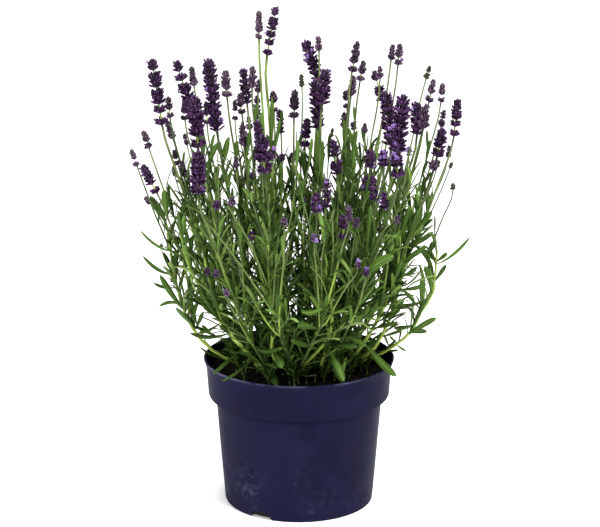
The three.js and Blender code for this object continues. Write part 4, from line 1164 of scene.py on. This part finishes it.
CRUMB_KINDS, CRUMBS, FULL_TURN = 5, 1300, 6.28
batches = [[crumb_shape(seed), [], [], 0] for seed in range(CRUMB_KINDS)]
for i in range(CRUMBS):
    shape, copies, grains, _ = batches[i % CRUMB_KINDS]
    draw = [chance(i, which, 50) for which in range(8)]
    far, angle = (SOIL_RADIUS - 1.5) * math.sqrt(draw[1]), 2 * math.pi * draw[2]
    x, y = far * math.cos(angle), far * math.sin(angle)
    size = 0.45 + 1.7 * draw[3] ** 3
    spin, roll = Matrix.Rotation(FULL_TURN * draw[4], 3, "Z"), Matrix.Rotation(FULL_TURN * draw[5], 3, "X")
    longer = np.array([1 + draw[6], 1, 0.8])
    middle = (x, y, soil_height(x, y) + size * 0.3)
    copies.append((shape.points * longer * size) @ np.array(spin @ roll).T + middle)
    grains.append(grain_of(shape, draw[7]))
crumbs = joined("soil_crumbs", batches, [SOIL])
print("crumbs:", CRUMBS, "faces:", len(crumbs.data.polygons))

# %% [markdown]
# ## Shapes of the plant
# A leaf is a flat grid drawn in to a point and folded a little along its midrib, so that its edges
# turn down, and given a thin wall. A stem is a square with worn corners, pulled up in rings. A calyx
# is a tube that narrows at its mouth, and a corolla a small trumpet with five lobes.

# %% Leaf shape
# Its x runs across in half widths, y along from 0 to 1, and z is millimetres above the centre line.
def leaf_shape(rows=7, fullest=0.58):
    blade = bmesh.new()
    bmesh.ops.create_grid(blade, x_segments=2, y_segments=rows, size=1)
    for v in blade.verts:
        t = 1 - (0.5 - v.co.y / 2) ** 1.35
        past = max((t - fullest) / (1 - fullest), 0)
        width = (0.22 + 0.78 * min(t / fullest, 1) ** 0.9) * math.sqrt(max(1 - past**3, 0.02))
        v.co = (v.co.x * width, t, -0.5 * abs(v.co.x) * width)
    bmesh.ops.solidify(blade, geom=blade.faces[:], thickness=0.35)
    bmesh.ops.recalc_face_normals(blade, faces=blade.faces)
    return Shape(blade)


LEAF_SHAPE = leaf_shape()


def bent_leaf(leaf):
    """The leaf shape's points laid along a leaf's centre line."""
    x, t, z = LEAF_SHAPE.points.T
    ahead = unit(curve(leaf, np.clip(t + 0.02, 0, 1)) - curve(leaf, np.clip(t - 0.02, 0, 1)))
    face = unit(np.cross(leaf["across"], ahead))
    wide = leaf["half_width"] * leaf.get("share", BLADE_SHARE)
    return curve(leaf, t) + leaf["across"] * (x * wide)[:, None] + face * z[:, None]


# %% Stem shape
def extruded(shape, face):
    """Extrudes a face once, and gives the new face and its corners."""
    made = bmesh.ops.extrude_face_region(shape, geom=[face])["geom"]
    corners = [item for item in made if isinstance(item, bmesh.types.BMVert)]
    return next(item for item in made if isinstance(item, bmesh.types.BMFace)), corners


def stem_shape(rings):
    stem = bmesh.new()
    bmesh.ops.create_circle(stem, cap_ends=True, segments=8, radius=1)
    for i, v in enumerate(stem.verts):
        v.co *= 1.12 if i % 2 == 0 else 0.88
    face = next(iter(stem.faces))
    for _ in range(rings):
        face, corners = extruded(stem, face)
        bmesh.ops.translate(stem, verts=corners, vec=(0, 0, 1 / rings))
    bmesh.ops.recalc_face_normals(stem, faces=stem.faces)
    return Shape(stem)


STEM_SHAPE = stem_shape(12)


def along_line(shape, line, radius_at):
    """The shape's points swept up a line, with a radius that changes along it."""
    x, y, t = shape.points.T
    steps = np.linspace(0, 1, len(line))
    centre = np.stack([np.interp(t, steps, line[:, k]) for k in range(3)], 1)
    ways = unit(np.gradient(line, axis=0))
    way = unit(np.stack([np.interp(t, steps, ways[:, k]) for k in range(3)], 1))
    side = unit(np.cross(way, (1.0, 0.0, 0.0)))
    radius = radius_at(t)[:, None]
    return centre + np.cross(side, way) * x[:, None] * radius + side * y[:, None] * radius


# %% Calyx and corolla shapes
# They point up z from 0 to 1, with a radius in the same unit, and are scaled when they are placed.
CALYX_RINGS = [(0.35, 0.18), (0.8, 0.2), (1.0, 0.08)]
COROLLA_POINTS = 10


def calyx_shape():
    tube = bmesh.new()
    bmesh.ops.create_circle(tube, cap_ends=True, segments=5, radius=0.1)
    face = next(iter(tube.faces))
    for height, radius in CALYX_RINGS:
        face, corners = extruded(tube, face)
        for v in corners:
            v.co = (*(v.co.xy.normalized() * radius), height)
    bmesh.ops.recalc_face_normals(tube, faces=tube.faces)
    return Shape(tube)


def corolla_shape():
    """A trumpet whose rim has five lobes, and whose mouth is drawn in."""
    flower = bmesh.new()
    bmesh.ops.create_cone(
        flower, cap_ends=True, cap_tris=True, segments=COROLLA_POINTS, radius1=0.15, radius2=1.0, depth=0.55
    )
    for v in flower.verts:
        if v.co.z > 0 and v.co.xy.length > 0.1:
            lobe = round(math.atan2(v.co.y, v.co.x) / (2 * math.pi) * COROLLA_POINTS) % 2 == 0
            v.co.xy *= 1.0 if lobe else 0.62
            v.co.z += 0.12 if lobe else 0.0
        elif v.co.z > 0:
            v.co.z = 0.0
    bmesh.ops.recalc_face_normals(flower, faces=flower.faces)
    return Shape(flower)


CALYX_SHAPE, COROLLA_SHAPE = calyx_shape(), corolla_shape()


def aimed(shape, point, way, length, width):
    """The shape's points stood up at a point and turned along a way."""
    way = unit(np.asarray(way, float))
    side = unit(np.cross(way, (0.31, 0.95, 0.07)))
    across = np.cross(side, way)
    x, y, z = shape.points.T
    return point + across * (x * width)[:, None] + side * (y * width)[:, None] + way * (z * length)[:, None]


print("faces: leaf", len(LEAF_SHAPE.faces), "stem", len(STEM_SHAPE.faces), "calyx", len(CALYX_SHAPE.faces))

# %% [markdown]
# ## More leaves
# The real bush is far leafier than its solids. Every shoot bears opposite pairs, each pair turned a
# quarter from the last, with tufts of young leaves in their axils and short side shoots. The lower
# half of each stalk has smaller pairs. Young shoots and tufts come up from the soil, and young stalks
# rise that bear no flower yet. Leaves that show singly in the photograph are placed one by one.

# %% Where a leaf may grow
FRONT_REACH, BACK_REACH = -108, 119


def is_free(leaf):
    """Whether a leaf keeps inside the bush's outline and depth, and off the pot and the heads."""
    line = curve(leaf, np.linspace(0.3, 1, 5))
    shows = in_outline(line[-1:]).all() and FRONT_REACH < line[-1, 1] < BACK_REACH
    if not (shows and clear_of_pot(line).all()):
        return False
    return (distances(line, head_feet, head_tips) >= head_radii + 1.2).all()


# %% Pairs of leaves up a stem
more_leaves, side_shoots = [], []


def around(way, angle):
    """The direction square to a stem's way, at an angle round it."""
    side = unit(np.cross(way, (1.0, 0.0, 0.0)))
    return np.cross(side, way) * math.cos(angle) + side * math.sin(angle)


def add_pairs(stem, low, high, seed, spacing, length, half_width, kept=1.0, lean=1.0):
    """Opposite pairs of leaves between two heights of a stem, of which a share is kept."""
    for node in range(int((high - low) / spacing)):
        height = low + spacing * (node + 0.3 * chance(seed, node, 60))
        base, way = at_height(stem["line"], height), leaf_way(stem["line"], height, 2)
        for side in (0, 1):
            draw = [chance(seed * 3 + side, node, channel) for channel in range(61, 67)]
            if draw[0] > kept:
                continue
            turn = 90 * node + 180 * side + 50 * (draw[1] - 0.5) + 360 * chance(seed, 7, 8)
            size, wide = length * (0.7 + 0.5 * draw[2]), half_width * (0.8 + 0.4 * draw[5])
            opening, falling = lean * math.radians(12 + 16 * draw[3]), lean * math.radians(22 + 34 * draw[4])
            out = around(way, math.radians(turn))
            leaf = arched_leaf(base, way, out, size, wide, opening, falling, stem["branch"])
            if is_free(leaf):
                more_leaves.append(leaf)


def add_twig(line, branch, **kind):
    """Keeps a side shoot with the rest, and gives it back."""
    side_shoots.append({"line": line, "branch": branch, **kind})
    return side_shoots[-1]


# %% A curve through a line's points
def smooth_line(points, count=13):
    """A curve through a line's points, with each end's direction kept."""
    ends = np.vstack([2 * points[0] - points[1], points, 2 * points[-1] - points[-2]])
    made = []
    for t in np.linspace(0, len(points) - 1.001, count):
        i, u = int(t), t - int(t)
        a, b, c, d = ends[i : i + 4]
        made.append(b + 0.5 * u * (c - a + u * (2 * a - 5 * b + 4 * c - d + u * (3 * (b - c) + d - a))))
    return np.array(made)


# %% Pairs, tufts and side shoots on the leafy shoots
SIDE_SHOOTS = 7
for shoot in shoots:
    seed, top = 100 + shoot["index"], shoot["top"]
    if shoot["clear"]:
        add_pairs(shoot, 158, top + 2, seed, spacing=15, length=38, half_width=2.6, kept=0.9)
        add_pairs(shoot, 146, top, seed + 40, spacing=7, length=20, half_width=1.3, kept=0.6)
        continue
    thin = 0.4 if shoot["line"][-1][1] > 0 else 0.1
    add_pairs(shoot, 128, top + 2, seed, spacing=14, length=38, half_width=2.3, kept=0.8 - thin)
    add_pairs(shoot, 126, top, seed + 40, spacing=11, length=20, half_width=1.5, kept=0.6 - thin)
    for node in range(SIDE_SHOOTS):
        height = 128 + node * 15 + 6 * chance(seed, node, 70)
        if height > top - 10 or chance(seed, node, 74) < 1.5 * thin:
            continue
        base = at_height(shoot["line"], height)
        way = unit(at_height(shoot["line"], height + 2) - base)
        out = around(way, 2 * math.pi * (0.38 * node + chance(seed, 1, 71)))
        reach = 24 + 22 * chance(seed, node, 72)
        tip = base + reach * (way * 0.8 + out * 0.6)
        line = np.array([base, base + 0.5 * reach * (way * 0.6 + out * 0.62), tip])
        if line[1][2] >= base[2] and clear_of_pot(line[1:]).all():
            twig, its_seed = add_twig(line, shoot["branch"]), seed * 7 + node
            add_pairs(twig, base[2] + 5, tip[2], its_seed, spacing=6.5, length=25, half_width=1.8, kept=0.9)

# %% Young shoots that come up from the soil
YOUNG_SHOOTS, SOIL_REACH = 45, 68
for k in range(YOUNG_SHOOTS):
    seed, branch = 700 + k, k % len(feet)
    angle, far = 2 * math.pi * chance(seed, 1, 76), 10 + 24 * chance(seed, 2, 76)
    x, y = foot_places[branch] + far * np.array([math.cos(angle), math.sin(angle)])
    reach = 10 + 16 * chance(seed, 3, 76)
    if math.hypot(x, y) <= SOIL_REACH:
        base = np.array([x, y, SOIL_EDGE])
        out = np.array([x, y]) / math.hypot(x, y) * reach * 0.35 * chance(seed, 4, 76)
        tip = base + np.array([*out, reach])
        twig = add_twig(np.array([base, (base + tip) / 2, tip]), branch)
        add_pairs(twig, base[2] + 3, tip[2], seed, spacing=3.2, length=24, half_width=1.7)

# %% Young stalks without a flower yet
YOUNG_STALKS = 90
for k in range(YOUNG_STALKS):
    seed, shoot = 900 + k, shoots[(k * 11) % len(shoots)]
    base = at_height(shoot["line"], 175 + 40 * chance(seed, 1, 77))
    angle, far = math.radians(360 * chance(seed, 2, 77)), 45 * math.sqrt(chance(seed, 3, 77))
    high = 280 + 55 * chance(seed, 4, 77)
    over = shoot_point(shoot, high)[:2] + far * np.array([math.cos(angle), math.sin(angle)])
    tip = np.array([*over, high])
    bow = np.array([6 * math.cos(angle + 1), 6 * math.sin(angle + 1), 8])
    line = smooth_line(np.array([base, (base + tip) / 2 + bow, tip]), 9)
    shows = in_outline(line[-1:]).all() and FRONT_REACH < tip[1] < BACK_REACH
    if shows and (distances(line[2:], head_feet, head_tips) > head_radii + 1.5).all():
        twig = add_twig(line, shoot["branch"], young=True)
        add_pairs(twig, high - 45, high - 2, seed, spacing=12, length=16, half_width=1.3, kept=0.7, lean=0.8)
print("young stalks:", sum("young" in twig for twig in side_shoots))

# %% Pairs on the stalks
for head in heads:
    seed, low = 300 + head["index"], head["joint"] + 4
    high = min(head["foot"][2] - 18, 332 - 12 * chance(head["index"], 3, 75))
    add_pairs(head, low, min(high, 285), seed, spacing=20, length=34, half_width=2.1, kept=0.75)
    low = max(low, 240)
    add_pairs(head, low, high, seed + 200, spacing=12, length=25, half_width=1.7, kept=0.6, lean=0.6)

# %% More leaves read from the photograph
# Foot and tip in pixels, width and bow in pixels, millimetres nearer at the tip, and the tint.
SEEN_LEAVES = [
    (354, 286, 393, 256, 11, 5, 32, 0.5),
    (366, 258, 371, 206, 5.5, 0, 24, 0.4),
    (340, 322, 372, 309, 6, 3, 25, 0.5),
    (318, 346, 291, 340, 8, 1, 20, 0.4),
    (344, 336, 366, 346, 6, 2, 20, 0.45),
    (328, 306, 302, 312, 6, -3, 20, 0.45),
    (322, 320, 327, 296, 5, 0, 15, 0.4),
    (329, 348, 344, 381, 8, 2, 30, 0.4),
    (392, 352, 384, 334, 3, 0, 5, 0.4),
    (380, 350, 396, 340, 3.5, 0, 5, 0.35),
    (400, 344, 390, 336, 3, 0, 5, 0.45),
    (386, 356, 398, 350, 3, 0, 5, 0.3),
    (401, 252, 415, 228, 6, 0, 5, 0.5),
    (264, 152, 262, 112, 5, 0, 5, 0.55),
    (270, 152, 272, 98, 5, 0, 5, 0.55),
    (276, 160, 280, 120, 4, 0, 5, 0.4),
    (317, 188, 318, 130, 7, 0, 8, 0.55),
    (322, 188, 323, 140, 4, 0, 5, 0.35),
    (346, 152, 344, 120, 4, 0, 5, 0.6),
    (354, 200, 354, 150, 5, 0, 5, 0.6),
    (416, 192, 431, 172, 4, 0, 5, 0.15),
    (205, 162, 203, 136, 5, 0, 5, 0.4),
    (232, 166, 236, 141, 5, 0, 5, 0.4),
    (246, 162, 250, 130, 5, 0, 5, 0.45),
    (300, 172, 298, 140, 5, 0, 5, 0.45),
    (310, 168, 312, 138, 4, 0, 5, 0.5),
    (332, 162, 330, 134, 5, 0, 5, 0.35),
    (352, 162, 357, 130, 4, 0, 5, 0.4),
    (367, 154, 362, 127, 4, 0, 5, 0.5),
    (428, 164, 430, 140, 4, 0, 5, 0.3),
    (424, 214, 428, 192, 5, 0, 5, 0.4),
    (398, 256, 420, 238, 7, 0, 8, 0.4),
    (404, 262, 426, 246, 6, 0, 8, 0.45),
    (410, 240, 421, 205, 8, 0, 8, 0.45),
    (413, 236, 432, 212, 6, 0, 8, 0.4),
    (400, 236, 409, 208, 6, 0, 5, 0.35),
    (422, 252, 436, 240, 5, 0, 5, 0.4),
    (416, 284, 430, 276, 5, 0, 5, 0.4),
    (404, 290, 426, 284, 5, -2, 5, 0.35),
    (388, 312, 404, 300, 5, 0, 8, 0.4),
    (380, 322, 400, 310, 5, 0, 8, 0.45),
    (378, 330, 398, 322, 5, 0, 8, 0.35),
    (386, 338, 402, 330, 4, 0, 8, 0.4),
    (206, 312, 194, 296, 5, 0, 5, 0.35),
    (212, 320, 202, 304, 5, 0, 5, 0.35),
    (214, 336, 202, 325, 4, 0, 5, 0.4),
    (160, 214, 152, 200, 5, 0, 3, 0.3),
    (168, 226, 158, 206, 6, 0, 3, 0.3),
    (166, 290, 154, 283, 4, -2, 3, 0.3),
    (226, 156, 229, 137, 5, 0, 3, 0.4),
    (252, 130, 256, 104, 4, 0, 3, 0.4),
    (284, 132, 282, 110, 4, 0, 3, 0.4),
    (350, 126, 354, 106, 3, 0, 3, 0.45),
    (204, 154, 201, 128, 4, 0, 3, 0.4),
    (300, 154, 303, 130, 4, 0, 3, 0.4),
    (352, 152, 349, 128, 4, 0, 3, 0.4),
    (430, 154, 427, 130, 3, 0, 3, 0.3),
]
SEEN_STEPS = 40
seen_stems = [*heads, *shoots, *side_shoots]
seen_points = np.vstack([smooth_line(stem["line"], SEEN_STEPS) for stem in seen_stems])
seen_pixels = pixel(seen_points)


def seen_leaf(row):
    """A leaf from the stem that shows nearest to the row's foot."""
    base_x, base_y, tip_x, tip_y, width, bow, nearer, tint = row
    i = int(np.argmin(np.hypot(*(seen_pixels - (base_x, base_y)).T) + 0.05 * seen_points[:, 1]))
    base, branch = seen_points[i], seen_stems[i // SEEN_STEPS]["branch"]
    tip = place(tip_x, tip_y, max(base[1] - nearer, FRONT_REACH))
    return drawn_leaf(base, tip, width, bow, branch) | {"tints": (tint, tint)}


for row in SEEN_LEAVES:
    leaf = seen_leaf(row)
    if clear_of_pot(curve(leaf, np.linspace(0.2, 1, 6))).all():
        more_leaves.append(leaf)

# %% Tufts at the front of the soil
TUFTS = [
    (258, 374), (270, 379), (291, 383), (299, 385), (307, 385),
    (315, 383), (326, 379), (340, 377), (353, 373), (366, 368),
]
for k, spot in enumerate(TUFTS):
    seed = 1100 + k
    far, near = place(*spot, 0), place(*spot, -RIM_RADIUS)
    base = far + (near - far) * (SOIL_EDGE + 1 - far[2]) / (near[2] - far[2])
    tip = base + np.array([8 * (chance(seed, 1, 78) - 0.5), 3, 12 + 8 * chance(seed, 2, 78)])
    twig = add_twig(np.array([base, (base + tip) / 2, tip]), nearest(foot_places, *base[:2]))
    add_pairs(twig, base[2] + 2, tip[2], seed, spacing=2.6, length=20, half_width=1.9)
print("more leaves:", len(more_leaves), "side shoots:", len(side_shoots))

# %% [markdown]
# ## The green of each branch
# Everything green of one branch becomes one piece, which stands for that branch's solid.

# %% Stems of a branch
TALL_STALKS = (280, 60)  # the tallest, whose heads show left of and above this pixel, are stouter and paler


def foot_line(branch):
    x, y = foot_places[branch]
    return np.array([[x, y, 108], [x, y, 118], [x * 1.01, y * 1.01, 131]])


def of_branch(items, branch):
    return [item for item in items if item["branch"] == branch]


def stems_of(branch):
    """All the stems of a branch. The colour of each runs from low to high up the stem's ramp."""
    copies, grains = [], []

    def add(line, radius_at, low, high, tint):
        copies.append(along_line(STEM_SHAPE, line, radius_at))
        grain = grain_of(STEM_SHAPE, tint, 0, 2)
        grain[:, 1] = low + (high - low) * grain[:, 1]
        grains.append(grain)

    add(foot_line(branch), lambda t: 3.4 - 1.6 * t, 0.0, 0.05, 0)
    for shoot in of_branch(shoots, branch):
        line = smooth_line(shoot["line"])
        if shoot["clear"]:
            add(line, lambda t: 1.6 - 0.75 * t, 0.04, 0.5, 0)
        else:
            # Shoots inside the bush start higher up the ramp and take a dark tint: painted shade.
            add(line, lambda t: 1.4 - 0.8 * t, 0.4, 0.9, 0.55 + 0.45 * chance(shoot["index"], 1, 80))
    for twig in of_branch(side_shoots, branch):
        if "young" in twig:
            add(twig["line"], lambda t: 0.75 - 0.3 * t, 0.6, 0.9, chance(len(copies), 1, 83))
        else:
            # Side shoots take a fixed dark tint: painted shade.
            add(smooth_line(twig["line"], 7), lambda t: 0.7 - 0.3 * t, 0.5, 0.9, 0.7)
    for head in of_branch(heads, branch):
        tall = (pixel(head["foot"])[0] < TALL_STALKS).all()
        own = chance(head["index"], 1, 81)
        stout, low, high, tint = (1.2, 0.15, 0.6, 0.45) if tall else (0.9, 0.25, 1.0, own)
        add(head["line"], lambda t: stout * stalk_radius(head, t), low, high, tint)
    return STEM_SHAPE, copies, grains, 0


# %% Leaves of a branch
# Leaves deep inside, behind and just above the rim get a darker tint, most of all low down: painted shade.
def leaves_of(branch):
    own, grains = of_branch(leaves + more_leaves, branch), []
    for i, leaf in enumerate(own):
        x, y, z = leaf["tip"]
        inside, behind = 1 - min(math.hypot(x, y) / 110, 1), clamp(y / 90)
        low_down = 1 - clamp((z - 200) / 100)
        tint = 0.06 + 0.82 * chance(i, branch, 82) ** 1.7 + 0.12 * low_down
        # Painted shade: the tint drops inside and behind the bush, and just above the rim.
        tint -= (0.4 * inside + 0.3 * behind) * (0.3 + 0.6 * low_down)
        tint -= 0.04 * clamp((165 - z) / 30)
        grains.append(grain_of(LEAF_SHAPE, clamp(tint, *leaf.get("tints", (0, 1)))))
    return LEAF_SHAPE, [bent_leaf(leaf) for leaf in own], grains, 1


# %% [markdown]
# ## Flower heads
# A head is a spike of whorls. Each whorl is a cushion of downy calyces that point outwards and up, in
# three rows, or a narrower cup of them where bare stalk follows above. The head tapers at its tip,
# where the youngest close it. Where the photograph shows open flowers, most calyces on that side
# bear a small violet corolla, and elsewhere hardly any does.

# %% Whorls of a head
WHORL_PARTS = {"O": 1, ".": 0.6, ",": 0.25}
HEAD_TIP = 0.35


def length_of(head):
    return np.linalg.norm(head["tip"] - head["foot"])


def whorls_of(head):
    """Each whorl from the foot up: its height and thickness, and whether the next one touches it."""
    parts = head["whorls"][::-1]
    step = length_of(head) / (sum(WHORL_PARTS[part] for part in parts) + HEAD_TIP)
    height = 0.0
    for part, above in zip(parts, parts[1:] + "O"):
        high = step * WHORL_PARTS[part]
        if part == "O":
            yield height, high, above == "O"
        height += high


# %% Rows of calyces in a whorl
# How far up the whorl a row sits, how far it leans out in degrees, and how long its calyces are.
FULL_ROWS = ((0.0, 66, 1.0), (0.42, 56, 0.95), (0.2, 34, 0.9))
CUP_ROWS = ((0.05, 66, 1.0), (0.15, 50, 0.9), (0.22, 38, 0.7))
CLOSED_ROWS = ((0.0, 46, 1.0), (0.22, 36, 0.95), (0.44, 24, 0.8))
TIP_ROWS = ((0.0, 52, 1.0), (0.22, 36, 0.95), (0.42, 20, 0.9), (0.52, 5, 0.8))

# %% Florets of a head
# The share of calyces that have opened, by how ripe the head is
OPEN_SHARE = {"bloom": 0.01, "mauve": 0.004, "dusk": 0.004, "green": 0.0}
# Pixels near which the photograph shows open flowers
OPEN_FLOWERS = np.array([
    (209, 97), (222, 119), (305, 59), (315, 53), (410, 110), (393, 128),
    (388, 135), (382, 155), (395, 157), (358, 257), (367, 265), (408, 150),
])
OPEN_REACH, OPEN_SHARE_THERE = 4, 0.65


def corolla_grain(tint):
    """The same distance from the axis stands for across and for along."""
    far = np.hypot(COROLLA_SHAPE.points[:, 0], COROLLA_SHAPE.points[:, 1])
    return np.stack([far, far, np.full(len(far), tint)], 1)


def florets_of(head):
    """Batches of calyces and corollas for one head."""
    up = unit(head["tip"] - head["foot"])
    side = unit(np.cross(up, (1.0, 0.0, 0.0)))
    across = np.cross(side, up)
    index, bloom = head["index"], head["tone"] == "bloom"
    calyces, calyx_grains, corollas, corolla_grains = [], [], [], []
    whorls = list(whorls_of(head))
    cushion, tapers = (FULL_ROWS, {0: 0.8, 1: 1.0}) if bloom else (CLOSED_ROWS, {0: 0.72, 1: 0.9})
    for w, (low, high, joined_above) in enumerate(whorls):
        from_top = len(whorls) - 1 - w
        youth = (low + high / 2) / length_of(head)
        radius = head["radius"] * (1.0 if len(whorls) == 1 else tapers.get(from_top, 1.0))
        rows = TIP_ROWS if from_top == 0 else cushion if joined_above else CUP_ROWS
        for r, (share, lean, longer) in enumerate(rows):
            count = round(4 + head["radius"] * 0.75) if lean > 25 else 4
            for k in range(count):
                draw = [chance(index * 5 + r, w * 20 + k, channel) for channel in range(90, 97)]
                angle = 2 * math.pi * (k + 0.5 * r + 0.27 * w + 0.35 * (draw[0] - 0.5)) / count
                out = across * math.cos(angle) + side * math.sin(angle)
                tilt = math.radians(lean + 16 * (draw[1] - 0.5))
                way = up * math.cos(tilt) + out * math.sin(tilt)
                length = longer * (0.92 * radius / max(math.sin(tilt), 0.6)) * (0.8 + 0.34 * draw[2])
                length = min(length, high * 1.3 + 1.2)
                width = min(2.7 + 0.4 * length, 5) * (0.85 + 0.3 * draw[3])
                base = head["foot"] + up * (low + share * high + 0.5 * (draw[6] - 0.5)) + out * radius * 0.08
                calyces.append(aimed(CALYX_SHAPE, base, way, length, width))
                calyx_grains.append(grain_of(CALYX_SHAPE, draw[4] ** 1.5, 0, 2))
                calyx_grains[-1][:, 0] = youth
                mouth = base + way * length * 0.97
                near = np.hypot(*(OPEN_FLOWERS - pixel(mouth)).T).min() < OPEN_REACH and out[1] < 0
                if draw[5] < (OPEN_SHARE_THERE if near else OPEN_SHARE[head["tone"]]):
                    size = 1.5 + 1.1 * draw[0]
                    corollas.append(aimed(COROLLA_SHAPE, mouth, unit(way + 0.5 * out), size, size))
                    corolla_grains.append(corolla_grain(draw[3]))
    return (CALYX_SHAPE, calyces, calyx_grains), (COROLLA_SHAPE, corollas, corolla_grains)


def rachis_of(head):
    """The stalk inside a head, which shows between its whorls."""
    copy = along_line(STEM_SHAPE, head["core"], lambda t: stalk_radius(head, 1) * (0.8 - 0.45 * t))
    return STEM_SHAPE, [copy], [grain_of(STEM_SHAPE, 0.3, 0, 2)], 2


# %% Heads with a solid of their own
for head in own_heads:
    calyces, corollas = florets_of(head)
    batches = [(*calyces, 0), *([(*corollas, 1)] if corollas[1] else []), rachis_of(head)]
    name = head["node"].replace("flower_head", "florets")
    piece = joined(name, batches, [CALYX[head["tone"]], COROLLA, STEMMY])
    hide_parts(head["node"])
print("heads made:", len(own_heads))

# %% Branches, with the smallest buds on them
materials = [STEMMY, LEAFY, *CALYX.values(), COROLLA]
for number, name in enumerate(BRANCHES):
    batches = [stems_of(number), leaves_of(number)]
    for head in of_branch(heads, number):
        if not head["own"]:
            calyces, corollas = florets_of(head)
            batches.append((*calyces, 2 + list(CALYX).index(head["tone"])))
            if corollas[1]:
                batches.append((*corollas, len(materials) - 1))
    piece = joined(f"greenery_{name}", batches, materials)
    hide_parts(f"branch_{name}")
    print(name, "faces:", len(piece.data.polygons))

# %% [markdown]
# ## Floor and light
# The photograph was taken on white, in soft light from above, with a faint shadow close to the pot.
# A white floor that glows, but less close to the pot's foot, gives that under a white sky. One soft
# lamp above, a little to the right, gives the leaves' highlights, and a weak one from the left fills
# the shade.

# %% Floor
floor_shape = bmesh.new()
bmesh.ops.create_grid(floor_shape, x_segments=1, y_segments=1, size=40)
floor = add_object("floor", to_mesh(floor_shape, "floor", smooth=False))
white = Finish("floor_white", 0.9)
white.shader["Base Color"].default_value = (0.92, 0.92, 0.92, 1)
white.shader["Emission Color"].default_value = (1, 1, 1, 1)
reach = white.add("VectorMath", {0: white.where()}, operation="LENGTH").outputs["Value"]
# The glow is weaker close to the pot's foot: a painted contact shadow.
white.feed(white.shader["Emission Strength"], white.rescale(reach, 0.064, 0.079, 0.27, 0.68))
floor.data.materials.append(white.material)
floor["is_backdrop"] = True

# %% Sky and lamps
world = bpy.data.worlds.new("studio")
world.use_nodes = True
sky = world.node_tree.nodes["Background"].inputs
sky["Color"].default_value = (1, 1, 1, 1)
sky["Strength"].default_value = 0.45
bpy.context.scene.world = world


def add_lamp(name, place_m, aim_m, size, power):
    lamp = bpy.data.lights.new(name, "AREA")
    lamp.shape = "DISK"
    lamp.size = size
    lamp.energy = power
    holder = add_object(name, lamp)
    holder.location = place_m
    holder.rotation_euler = (Vector(aim_m) - Vector(place_m)).to_track_quat("-Z", "Y").to_euler()


add_lamp("key", (0.6, -0.9, 2.6), (0, 0, 0.25), 0.7, 92)
add_lamp("fill", (-1.6, -1.4, 1.2), (0, 0, 0.2), 1.2, 16)
bpy.context.scene.view_settings.view_transform = "Standard"

# %% [markdown]
# ## Size
# The finer pieces must not outgrow the solids, so both boxes are kept side by side.

# %% Boxes and finish
shown_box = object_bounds()
boxes = {"solids": [list(corner) for corner in solid_box], "shown": [list(corner) for corner in shown_box]}
for key, box in boxes.items():
    print(key, [[round(1000 * v, 1) for v in corner] for corner in box])
